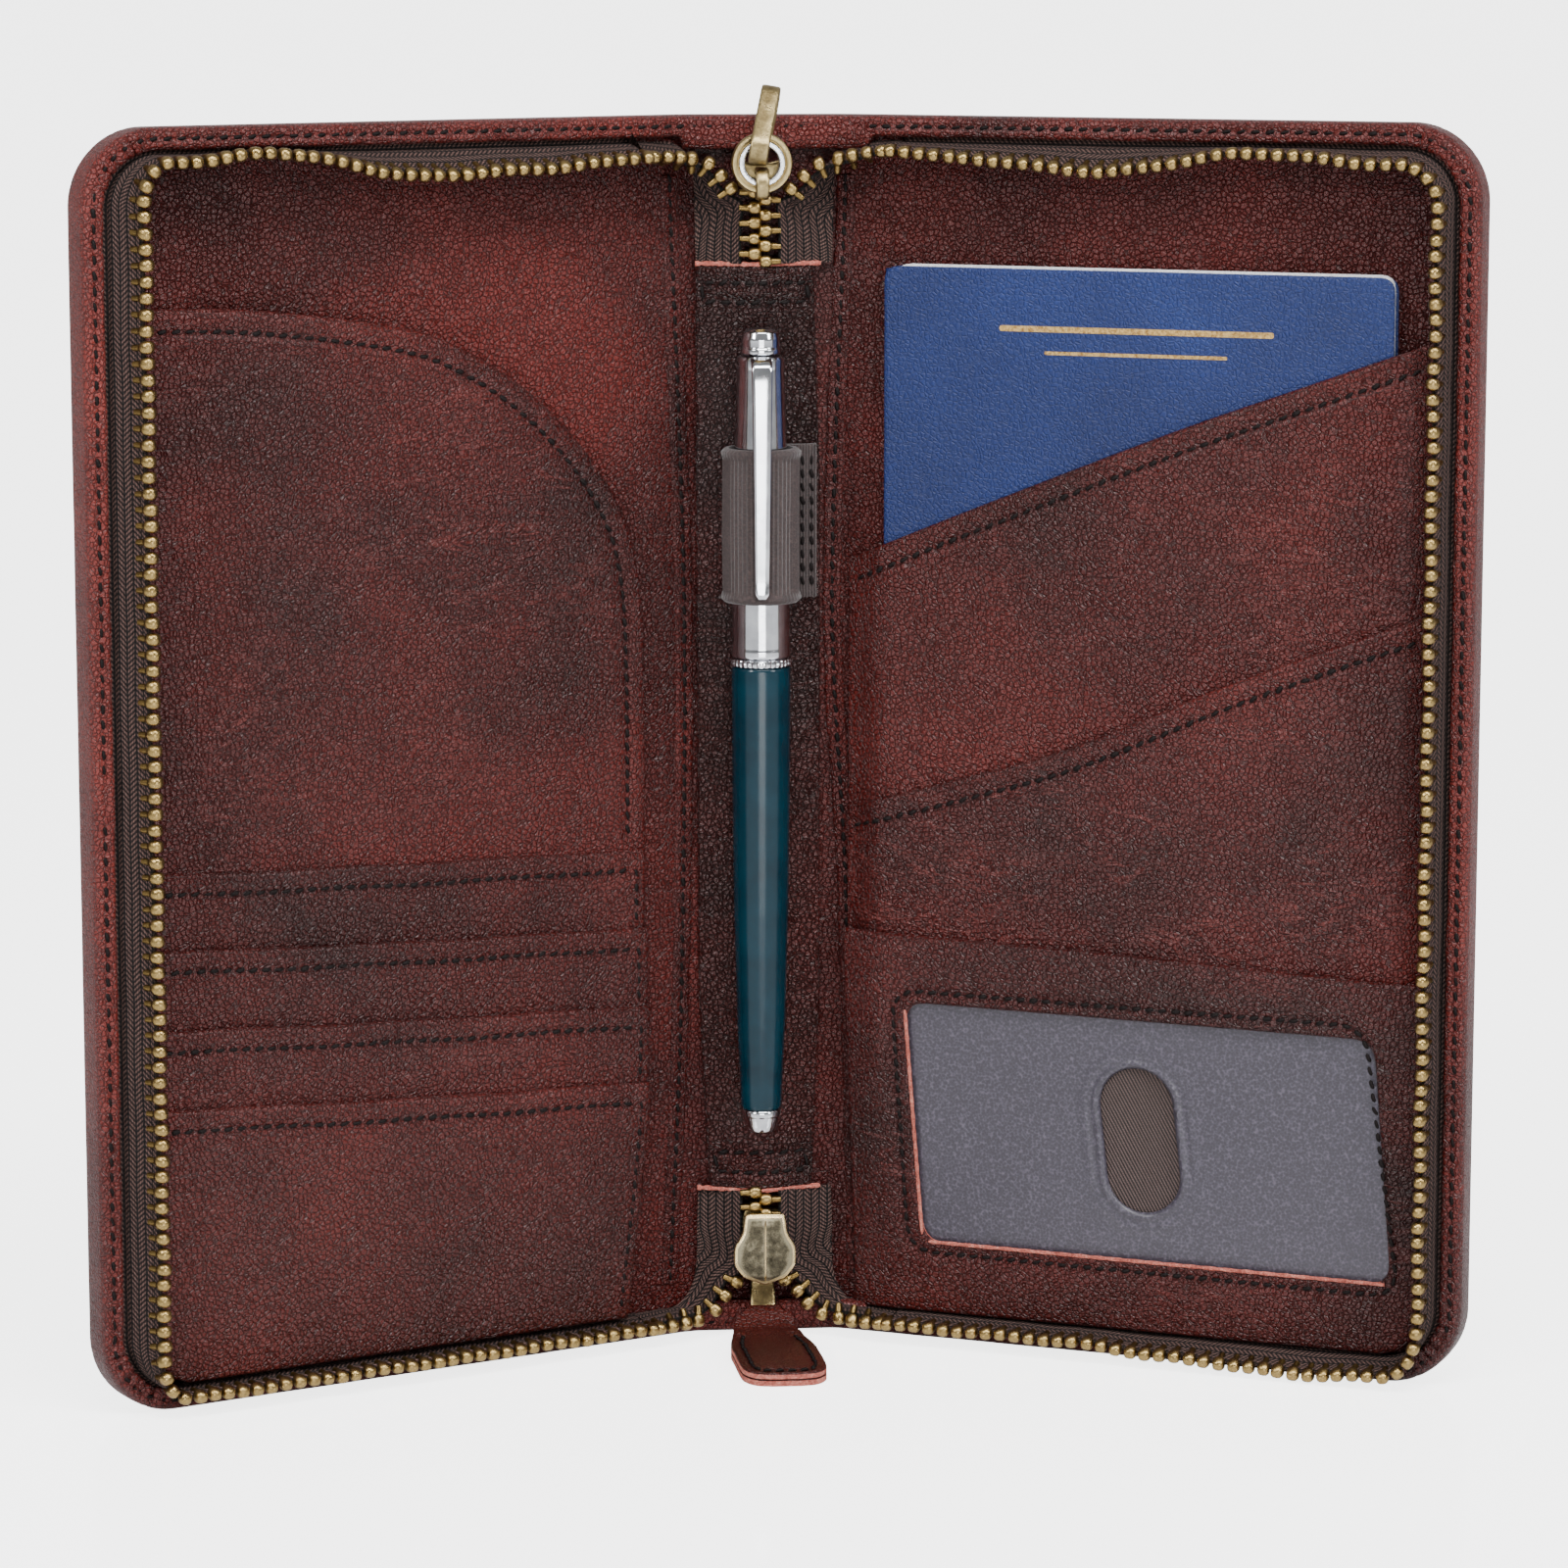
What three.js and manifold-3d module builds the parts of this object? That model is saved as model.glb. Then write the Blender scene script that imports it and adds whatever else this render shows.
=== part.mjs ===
// Travel document organizer: a zip-around leather case that stands open like a book.
// Two boarded leather covers fold on a leather spine. Each cover carries a bound edge, a woven zip tape with
// metal teeth, a lining and its pockets. Two sliders sit at the spine's ends. Millimetres, +Z up.
// The spine's inner face is the plane y = Y0; the covers open towards -Y. The base stands on z = 0.
import * as THREE from "three";
import { mergeVertices } from "three/addons/utils/BufferGeometryUtils.js";
import Module from "manifold-3d";

const wasm = await Module();
wasm.setup();

// ---- driving dimensions (mm) ----
const W = 112.4; // cover width, fold line to outer edge
const H = 212; // cover height
const R = 13; // outer corner radius
const S = 26.2; // distance between the two fold lines, which is the closed thickness inside
const OPEN_DEG = 26; // each cover's turn forward from lying flat
const BIND = 3.6; // width of the edge binding on the inner face
const BIND_BACK = 6; // and on the outer face
const LIP = 1.0; // thickness of the binding leather
const BACK = 5.2; // depth of the binding's outer face behind the lining's face
const XC = -1.0; // centre line of the zip ends and the pen
const ZP = -5.0; // depth of the zip's own plane in front of the spine's lining
const Y0 = 24.99; // puts the middle of the object's depth at y = 0
const X0 = 0.0;

const root = new THREE.Group();
const colours = {
  leather: [0x4a2320, 0.45, 0], raw: [0x8a4a3a, 0.8, 0], board: [0x6b5a4a, 0.9, 0], tape: [0x2f2624, 0.85, 0],
  brass: [0x8a7a50, 0.35, 1], steel: [0xb8b8bc, 0.25, 1], elastic: [0x3d2a2a, 0.9, 0], film: [0x6d6b78, 0.5, 0],
  twill: [0x3a2a28, 0.9, 0], teal: [0x10485c, 0.2, 0], blue: [0x1f3f86, 0.6, 0], paper: [0xe8e8e6, 0.9, 0],
};
const mats = {};
for (const [k, [c, r, m]] of Object.entries(colours))
  mats[k] = new THREE.MeshStandardMaterial({ color: c, roughness: r, metalness: m });

// ---- small tools ----
function solid(g) {
  let n = g.index ? g.toNonIndexed() : g;
  const p = new THREE.BufferGeometry().setAttribute("position", n.getAttribute("position"));
  const m = mergeVertices(p, 1e-4);
  return new wasm.Manifold(new wasm.Mesh({ numProp: 3, vertProperties: m.attributes.position.array, triVerts: new Uint32Array(m.index.array) }));
}
function geometry(s) {
  const m = s.getMesh(), n = m.numProp, v = new Float32Array(m.numVert * 3);
  for (let i = 0; i < m.numVert; i++) v.set(m.vertProperties.subarray(i * n, i * n + 3), i * 3);
  return new THREE.BufferGeometry().setAttribute("position", new THREE.BufferAttribute(v, 3)).setIndex(new THREE.BufferAttribute(m.triVerts, 1));
}
const cut = (a, ...bs) => geometry(bs.reduce((s, b) => s.subtract(solid(b)), solid(a)));
const join = (a, ...bs) => geometry(bs.reduce((s, b) => s.add(solid(b)), solid(a)));

// a polygon in the x-z plane given depth along y, from ya to yb
function slab(points, ya, yb, holes = []) {
  const s = new THREE.Shape(points.map((p) => new THREE.Vector2(p[0], p[1])));
  for (const h of holes) s.holes.push(new THREE.Path(h.map((p) => new THREE.Vector2(p[0], p[1]))));
  const g = new THREE.ExtrudeGeometry(s, { depth: yb - ya, bevelEnabled: false, steps: 1 });
  g.rotateX(Math.PI / 2);
  g.translate(0, yb, 0);
  return g;
}
const box = (x0, x1, y0, y1, z0, z1) => {
  const g = new THREE.BoxGeometry(x1 - x0, y1 - y0, z1 - z0);
  g.translate((x0 + x1) / 2, (y0 + y1) / 2, (z0 + z1) / 2);
  return g;
};
// rings of points joined into a closed sweep, ends capped; turned right way out if needed
function sweep(rings) {
  const n = rings[0].length, pos = [], idx = [];
  rings.forEach((r) => r.forEach((p) => pos.push(...p)));
  for (let i = 0; i + 1 < rings.length; i++)
    for (let j = 0; j < n; j++) {
      const a = i * n + j, b = i * n + ((j + 1) % n), c = a + n, d = b + n;
      idx.push(a, c, b, b, c, d);
    }
  const last = (rings.length - 1) * n;
  for (let j = 1; j + 1 < n; j++) { idx.push(0, j, j + 1); idx.push(last, last + j + 1, last + j); }
  const g = new THREE.BufferGeometry().setAttribute("position", new THREE.BufferAttribute(new Float32Array(pos), 3)).setIndex(idx);
  let v = 0;
  const P = (i) => new THREE.Vector3(pos[3 * i], pos[3 * i + 1], pos[3 * i + 2]);
  for (let i = 0; i < idx.length; i += 3) v += P(idx[i]).dot(P(idx[i + 1]).cross(P(idx[i + 2])));
  if (v < 0) { for (let i = 0; i < idx.length; i += 3) [idx[i + 1], idx[i + 2]] = [idx[i + 2], idx[i + 1]]; g.setIndex(idx); }
  return g;
}
// a lathe about +Z through (x, y): profile of [radius, z], starting and ending on the axis
function lathe(profile, x, y, seg = 20) {
  const g = new THREE.LatheGeometry(profile.map((p) => new THREE.Vector2(p[0], p[1])), seg);
  g.rotateX(Math.PI / 2);
  g.translate(x, y, 0);
  return g;
}
function place(group, name, g, mat) {
  const m = new THREE.Mesh(g, mats[mat]);
  m.name = name;
  group.add(m);
  return m;
}
// a cover's outline on its spine side at u0, inset by i, as [x, z] with x = side * u
function outline(side, i, u0, seg = 8) {
  const r = R - i, pts = [[u0, i]];
  const arc = (cu, cz, a0) => { for (let k = 0; k <= seg; k++) { const a = a0 + (k / seg) * (Math.PI / 2); pts.push([cu + r * Math.cos(a), cz + r * Math.sin(a)]); } };
  arc(W - R, R, -Math.PI / 2);
  arc(W - R, H - R, 0);
  pts.push([u0, H - i]);
  return pts.map(([u, z]) => [side * u, z]);
}
const mir = (side, pts) => pts.map(([u, z]) => [side * u, z]);

// ---- the zip's path round a cover: root line, inset by BIND, from the top of the spine side to the bottom ----
const U_END = 12; // the cover's own zip stops this far from the fold line
// how far the tape leans inward over the lining: by distance along the top and bottom, and down the side
const LEAN = {
  "-1": { top: [[12, 0.25], [31, 0.43], [53, 0.52], [82, -0.05], [99, 0.1]], side: 0.5, low: [[12, -0.15], [99, -0.15]] },
  "1": { top: [[12, 0.12], [26, 0.28], [48, 0.5], [76, 0.05], [99, 0.25]], side: 0.16, low: [[12, -0.15], [45, -0.15], [62, -0.28], [86, -0.4], [99, -0.3]] },
};
const wave = (pts, u) => {
  if (u <= pts[0][0]) return pts[0][1];
  for (let i = 0; i + 1 < pts.length; i++) if (u <= pts[i + 1][0]) { const t = (u - pts[i][0]) / (pts[i + 1][0] - pts[i][0]), w = t * t * (3 - 2 * t); return pts[i][1] + (pts[i + 1][1] - pts[i][1]) * w; }
  return pts[pts.length - 1][1];
};
function zipPath(side) {
  const r = R - BIND, L = LEAN[side], pts = [];
  const dir = (a) => [a, Math.sqrt(1 - a * a)];
  const mix = (p, q, t) => { t = Math.max(0, Math.min(1, t)); return p + (q - p) * t * t * (3 - 2 * t); };
  const nTop = 14, nSide = 14, nArc = 7, low = L.low[L.low.length - 1][1], endTop = L.top[L.top.length - 1][1];
  for (let k = 0; k <= nTop; k++) { const u = U_END + (k / nTop) * (W - R - U_END); pts.push({ u, z: H - BIND, n: [0, -1], l: dir(wave(L.top, u)) }); }
  for (let k = 1; k <= nArc; k++) { const a = Math.PI / 2 - (k / nArc) * (Math.PI / 2); pts.push({ u: W - R + r * Math.cos(a), z: H - R + r * Math.sin(a), n: [-Math.cos(a), -Math.sin(a)], l: dir(mix(endTop, L.side, k / nArc)) }); }
  for (let k = 1; k <= nSide; k++) pts.push({ u: W - BIND, z: H - R - (k / nSide) * (H - 2 * R), n: [-1, 0], l: dir(L.side) });
  for (let k = 1; k <= nArc; k++) { const a = -(k / nArc) * (Math.PI / 2); pts.push({ u: W - R + r * Math.cos(a), z: R + r * Math.sin(a), n: [-Math.cos(a), -Math.sin(a)], l: dir(mix(L.side, low, k / nArc)) }); }
  for (let k = 1; k <= nTop; k++) { const u = W - R - (k / nTop) * (W - R - U_END); pts.push({ u, z: BIND, n: [0, 1], l: dir(wave(L.low, u)) }); }
  return pts;
}
const ROOT_N = 1.1, ROOT_D = 0.6, TAPE_L = 6.0, TOOTH_A = 6.3, TOOTH_B = 9.0, PITCH = 2.6;
// section point at inward distance n and height d, on path point p
const at = (side, p, n, d) => [side * (p.u + p.n[0] * n), -d, p.z + p.n[1] * n];
function tape(side) {
  return sweep(zipPath(side).map((p) => {
    const [a, b] = p.l, h = 0.3, m = h * Math.tan(Math.acos(Math.max(-1, Math.min(1, a))) / 2);
    const tip = [ROOT_N + a * TAPE_L, ROOT_D + b * TAPE_L];
    return [
      at(side, p, -2.2, ROOT_D - h), at(side, p, ROOT_N + m, ROOT_D - h), at(side, p, tip[0] + b * h, tip[1] - a * h),
      at(side, p, tip[0] - b * h, tip[1] + a * h), at(side, p, ROOT_N - m, ROOT_D + h), at(side, p, -2.2, ROOT_D + h),
    ];
  }));
}
function teeth(side) {
  // points along the path every half pitch
  const src = zipPath(side), out = [];
  let acc = 0, next = 0;
  const tipOf = (p) => [p.u + p.n[0] * 6, p.z + p.n[1] * 6];
  for (let i = 0; i + 1 < src.length; i++) {
    const p = src[i], q = src[i + 1], [x0, z0] = tipOf(p), [x1, z1] = tipOf(q), len = Math.hypot(x1 - x0, z1 - z0);
    while (next <= acc + len) {
      const t = (next - acc) / len, mixv = (a, b) => a + (b - a) * t;
      const l = [mixv(p.l[0], q.l[0]), mixv(p.l[1], q.l[1])], ll = Math.hypot(...l), n = [mixv(p.n[0], q.n[0]), mixv(p.n[1], q.n[1])], nl = Math.hypot(...n);
      out.push({ u: mixv(p.u, q.u), z: mixv(p.z, q.z), n: n.map((v) => v / nl), l: l.map((v) => v / ll) });
      next += PITCH / 2;
    }
    acc += len;
  }
  return sweep(out.map((p, i) => {
    const [a, b] = p.l, tooth = i % 2, e = tooth ? TOOTH_B : TOOTH_A + 0.9, h = 0.8;
    const q = (s, t) => at(side, p, ROOT_N + a * s + b * t, ROOT_D + b * s - a * t);
    return [q(TOOTH_A, h), q(e, 0), q(TOOTH_A, -h)];
  }));
}

// ---- one cover: the parts both sides share ----
function cover(side, word) {
  const g = new THREE.Group();
  g.position.set((side * S) / 2, 0, 0);
  g.rotation.z = -side * THREE.MathUtils.degToRad(OPEN_DEG);
  place(g, "lining_" + word, slab(outline(side, 1.3, 0.6), 0, 1.0), "leather");
  place(g, "cover_board_" + word, slab(outline(side, 2.3, 1.0), 1.3, 2.8), "board");
  place(g, "cover_leather_" + word, slab(outline(side, 1.3, 0.6), 3.1, 4.0), "leather");
  const b = cut(slab(outline(side, 0, 0.6), -2.2, BACK),
    slab(outline(side, BIND, -5), -5, 2), slab(outline(side, BIND_BACK, -5), 2, BACK + 5), slab(outline(side, LIP, -5), -1.2, BACK - 0.9),
    box(side < 0 ? -2.6 : 0, side < 0 ? 0 : 2.6, -3, -1.2, -1, H + 1)); // the front lip stops short of the fold
  place(g, "binding_" + word, b, "leather");
  place(g, "zip_tape_" + word, tape(side), "tape");
  place(g, "zip_teeth_" + word, teeth(side), "brass");
  root.add(g);
  return g;
}

// ---- left cover: document pocket and four card slots ----
{
  const g = cover(-1, "left");
  const curve = new THREE.CatmullRomCurve3([[107, 183], [84, 182.2], [57.5, 178.5], [44.6, 174.4], [31.7, 166.5], [20.5, 155.7], [13, 144], [10, 132], [9.2, 115]].map(([u, z]) => new THREE.Vector3(u, z, 0)));
  const top = curve.getPoints(22).map((p) => [p.x, p.y]);
  place(g, "document_pocket_left", slab(mir(-1, [...top, [9.1, 70], [9.9, 43], [12, 27], [15, 5.6], [98.5, 5.6], [101.9, 6.6], [104.4, 8.6], [106, 11.4], [106.8, 15]]), -1.1, -0.3), "leather");
  const slots = [[106.2, 90.7, 9.6, 86.8, 40], [105.7, 78, 9.6, 73.2, 27], [105.1, 64.9, 9.8, 59.7, 14], [104.4, 51.8, 10.3, 46.5, 5]];
  slots.forEach(([uo, zo, ui, zi, zb], k) => {
    const d = 1.4 + k * 1.0, inner = k < 3 ? ui + (zi - zb) * 0.03 : 15;
    const pts = k < 3 ? [[uo, zo], [ui, zi], [inner, zb], [uo, zb]] : [[uo, zo], [ui, zi], [12.2, 27], [inner, zb], [uo - 6, zb], [uo - 1.8, zb + 2], [uo, zb + 6]];
    place(g, "card_slot_" + (k + 1), slab(mir(-1, pts), -d - 0.7, -d), "leather");
  });
}

// ---- right cover: passport pocket, slant pocket, window pocket; and the passport ----
{
  const g = cover(1, "right");
  place(g, "passport_pocket", slab([[2.4, 136.2], [27, 146.5], [61, 160.2], [106.4, 176.7], [106.4, 61], [2.4, 61]], -4.3, -3.6), "leather");
  place(g, "slant_pocket", slab([[2.4, 93.4], [44, 106.2], [70, 117.6], [106.2, 131.6], [106.2, 61], [2.4, 61]], -5.2, -4.6), "leather");
  // the window pocket leans: close to the lining at its foot, over the other pockets at its mouth
  const lean = (geo) => { const p = geo.getAttribute("position"); for (let i = 0; i < p.count; i++) p.setY(i, p.getY(i) - 0.061 * (p.getZ(i) - 7)); return geo; };
  const win = rounded([[14.2, 60.3], [97.7, 59.6], [100.5, 17.2], [17.1, 17.6]], 4, 5);
  place(g, "id_pocket", lean(slab([[2.4, 72.4], [44.4, 71.6], [106, 69.2], [106, 11.5], [104.6, 8], [102, 5.9], [99, 5], [4.0, 5]], -2.9, -2.2, [win.slice().reverse()])), "leather");
  const thumb = [];
  for (let k = 0; k <= 16; k++) { const a = (k / 16) * Math.PI * 2, q = Math.sin(a) >= 0 ? 1 : -1; thumb.push([56.3 - q * 0.6 + 6.5 * Math.cos(a), 38.7 + q * 6.2 + 6.5 * Math.sin(a)]); }
  thumb.pop();
  place(g, "id_window", lean(cut(slab([[12, 60.8], [101.5, 60.8], [101.5, 14], [14.5, 14]], -1.9, -1.6), slab(thumb, -3, 0))), "film");
  place(g, "id_backing", lean(slab([[12, 60.6], [101.5, 60.6], [101.5, 9], [13, 9]], -1.3, -0.9)), "twill");
  // the passport: a folded cover with its pages inside, standing in the passport pocket
  place(g, "passport_cover", join(slab([[10.4, 61.7], [95.9, 61.7], [98.4, 64], [98.4, 184], [95.9, 186.7], [10.4, 186.7]], -0.8, -0.3),
    slab([[10.4, 61.7], [95.9, 61.7], [98.4, 64], [98.4, 184], [95.9, 186.7], [10.4, 186.7]], -3.3, -2.8), box(10.4, 10.9, -3.3, -0.3, 61.7, 186.7)), "blue");
  place(g, "passport_pages", slab([[11.2, 62], [96.5, 62], [98.8, 64.3], [98.8, 184.2], [96.5, 187.0], [11.2, 187.0]], -2.5, -1.1), "paper");
}
function rounded(c, r, seg) {
  const out = [];
  c.forEach((p, i) => {
    const a = c[(i + c.length - 1) % c.length], b = c[(i + 1) % c.length];
    const va = [a[0] - p[0], a[1] - p[1]], vb = [b[0] - p[0], b[1] - p[1]], la = Math.hypot(...va), lb = Math.hypot(...vb);
    const s = [p[0] + (va[0] / la) * r, p[1] + (va[1] / la) * r], e = [p[0] + (vb[0] / lb) * r, p[1] + (vb[1] / lb) * r];
    for (let k = 0; k <= seg; k++) { const t = k / seg; out.push([(1 - t) ** 2 * s[0] + 2 * t * (1 - t) * p[0] + t * t * e[0], (1 - t) ** 2 * s[1] + 2 * t * (1 - t) * p[1] + t * t * e[1]]); }
  });
  return out;
}

// ---- spine ----
const sp = new THREE.Group();
root.add(sp);
const HS = S / 2 - 0.5;
place(sp, "spine_lining", box(-HS, HS, 0, 1.0, 1.3, H - 1.3), "leather");
place(sp, "spine_board", box(-HS + 2, HS - 2, 1.3, 2.8, 2.3, H - 2.3), "board");
place(sp, "spine_leather", box(-HS, HS, 3.1, 4.0, 1.3, H - 1.3), "leather");
place(sp, "spine_strip", slab([[-11.9, 26.2], [9.9, 26.2], [9.9, 186.7], [-11.9, 186.7]], -1.9, -1.2), "leather");
const bindEnd = (up) => {
  const z = (a, b) => (up ? [H - b, H - a] : [a, b]);
  return cut(box(-HS, HS, -2.2, BACK, ...z(0, BIND_BACK)), box(-HS - 1, HS + 1, -5, 2, ...z(BIND, BIND_BACK + 1)), box(-HS - 1, HS + 1, -1.2, BACK - 0.9, ...z(LIP, BIND_BACK + 1)),
    box(-HS - 1, 1.6 - S / 2, -3, 0, ...z(-1, BIND_BACK + 1)), box(S / 2 - 1.6, HS + 1, -3, 0, ...z(-1, BIND_BACK + 1)));
};
place(sp, "spine_binding_top", bindEnd(true), "leather");
place(sp, "spine_binding_bottom", bindEnd(false), "leather");
// the coupled zip between the strip and each slider: interlocked teeth down the middle
function chain(z0, z1) {
  const n = Math.round((z1 - z0) / 1.3), h = (z1 - z0) / n, left = [], right = [];
  for (let k = 0; k < n; k++) {
    const za = z0 + k * h, wide = k % 2 === 0;
    left.push([wide ? XC - 3.9 : XC - 3.3, za], [wide ? XC - 3.9 : XC - 3.3, za + h]);
    right.push([wide ? XC + 3.3 : XC + 3.9, za], [wide ? XC + 3.3 : XC + 3.9, za + h]);
  }
  return slab([...left, ...right.reverse()], ZP - 1.2, ZP + 1.2);
}
place(sp, "zip_chain_top", chain(187.0, 195.0), "brass");
place(sp, "zip_chain_bottom", chain(22.9, 25.9), "brass");
// the open rows that lead from each slider's mouth to the covers, and the tape gussets behind them
for (const [word, zc, dir] of [["top", 197.2, 1], ["bottom", 10.2, -1]])
  for (const [sw, side] of [["left", -1], ["right", 1]]) {
    const end = side < 0 ? -11.6 : 11.6, z1 = word === "top" ? 205.6 : 2.0, x0 = XC + side * 2.2, rings = [];
    const m = 8;
    for (let k = 0; k <= m; k++) {
      const t = ((k / m) * (10.4 - Math.abs(x0))) / (11.6 - Math.abs(x0)), x = x0 + (end - x0) * t, z = zc + (z1 - zc) * Math.sin((t * Math.PI) / 2), y = ZP - 1.2 * t;
      const tx = end - x0, tz = ((z1 - zc) * Math.cos((t * Math.PI) / 2) * Math.PI) / 2, l = Math.hypot(tx, tz), nx = -tz / l, nz = tx / l;
      const h = 1.0, v = 0.75;
      rings.push([[x - nx * h, y - v, z - nz * h], [x + nx * h, y - v, z + nz * h], [x + nx * h, y + v, z + nz * h], [x - nx * h, y + v, z - nz * h]]);
    }
    place(sp, `zip_row_${word}_${sw}`, sweep(rings), "brass");
    const q = (x, z) => [side * x, z], xi = side * XC + 4.2, xo = word === "bottom" && side > 0 ? 8.8 : 12.4;
    const pts = word === "top" ? [q(xo, 187.0), q(xi, 187.0), q(xi, 195.2), q(8.6, 200.6), q(xo, 203.2)] : [q(Math.min(xo, 10.6), 25.9), q(xi, 25.9), q(xi, 16.4), q(7.6, 9.6), q(xo - 0.6, 5.6), q(xo, 5.6)];
    place(sp, `zip_gusset_${word}_${sw}`, slab(pts, ZP - 0.3, ZP + 0.3), "tape");
  }
// the elastic loop: a closed band round the pen with its tail sewn at the right of the spine
const PX = -1.15, PY = -8.6;
{
  const outer = [], inner = [];
  for (let k = 0; k <= 20; k++) { const a = (70 + (k / 20) * 222) * (Math.PI / 180); outer.push([PX + 6.6 * Math.cos(a), PY + 6.6 * Math.sin(a)]); }
  outer.push([8.7, -4.2], [8.7, -2.3]);
  for (let k = 0; k < 20; k++) { const a = (k / 20) * Math.PI * 2; inner.push([PX + 5.4 * Math.cos(a), PY + 5.4 * Math.sin(a)]); }
  const s = new THREE.Shape(outer.map((p) => new THREE.Vector2(...p)));
  s.holes.push(new THREE.Path(inner.reverse().map((p) => new THREE.Vector2(...p))));
  const g = new THREE.ExtrudeGeometry(s, { depth: 26.3, bevelEnabled: false, steps: 1 });
  g.translate(0, 0, 129.8);
  place(sp, "pen_loop", g, "elastic");
}

// ---- pen ----
const pen = new THREE.Group();
root.add(pen);
const penLathe = (pr) => lathe([[0, pr[0][1]], ...pr, [0, pr[pr.length - 1][1]]], PX, PY, 20);
place(pen, "pen_tail", penLathe([[2.7, 37.2], [2.9, 37.5], [2.9, 39.6], [3.3, 39.8], [3.3, 41.4]]), "steel");
place(pen, "pen_barrel", penLathe([[3.4, 41.7], [4.1, 56], [4.65, 76], [4.9, 96], [5.0, 118.5]]), "teal");
place(pen, "pen_trim_ring", penLathe([[5.0, 118.8], [5.1, 119.0], [5.1, 119.9], [5.0, 120.1]]), "steel");
place(pen, "pen_cap", penLathe([[4.95, 120.4], [5.0, 121], [4.95, 135], [4.6, 152], [4.0, 170], [3.9, 171.8]]), "steel");
place(pen, "pen_finial", penLathe([[3.3, 172.1], [3.45, 172.5], [3.45, 173.4], [3.1, 173.6], [3.1, 175.9], [2.8, 176.5]]), "steel");
place(pen, "pen_clip", (() => {
  // an arm that leaves the cap near its top and runs down in front of the loop
  const prof = [[-5.3, 171.2], [-7.4, 170.6], [-7.8, 168.6], [-7.8, 131.6], [-7.4, 130.9], [-7.0, 131.6], [-7.0, 168.2], [-6.6, 169.4], [-4.6, 169.9]];
  const s = new THREE.Shape(prof.map(([y, z]) => new THREE.Vector2(y, z)));
  const g = new THREE.ExtrudeGeometry(s, { depth: 3.6, bevelEnabled: false, steps: 1 });
  g.rotateY(Math.PI / 2); g.rotateX(Math.PI / 2); // shape x -> y, shape y -> z, depth -> x
  return g;
})(), "steel").position.set(PX + 0.8 - 1.8, PY, 0);

// ---- sliders: two plates joined by a post at the mouth, edge lips that leave the tape a gap ----
function slider(zTail, zMouth, plate, extra) {
  const up = zMouth > zTail ? 1 : -1;
  const front = slab(plate, ZP - 2.7, ZP - 1.6), back = slab(plate, ZP + 1.6, ZP + 2.7);
  const z0 = Math.min(zMouth, zMouth - 3 * up), z1 = Math.max(zMouth, zMouth - 3 * up);
  const post = slab([[XC, z0], [XC + 1.1, (z0 + z1) / 2], [XC, z1], [XC - 1.1, (z0 + z1) / 2]], ZP - 2, ZP + 2);
  return join(front, back, post, ...extra);
}
const tg = new THREE.Group();
root.add(tg);
{
  const p = [[XC - 4.2, 194.2], [XC + 4.2, 194.2], [XC + 4.6, 198], [XC + 5.0, 201.5], [XC + 2.2, 203.4], [XC - 2.2, 203.4], [XC - 5.0, 201.5], [XC - 4.6, 198]];
  const hook = join(box(XC - 1.1, XC + 1.1, -11.6, ZP - 2.2, 201.6, 202.4), box(XC - 1.1, XC + 1.1, -11.6, -10.8, 198.2, 202.4));
  place(tg, "zip_slider_top", slider(194.2, 203.4, p, [hook]), "brass");
}
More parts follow.
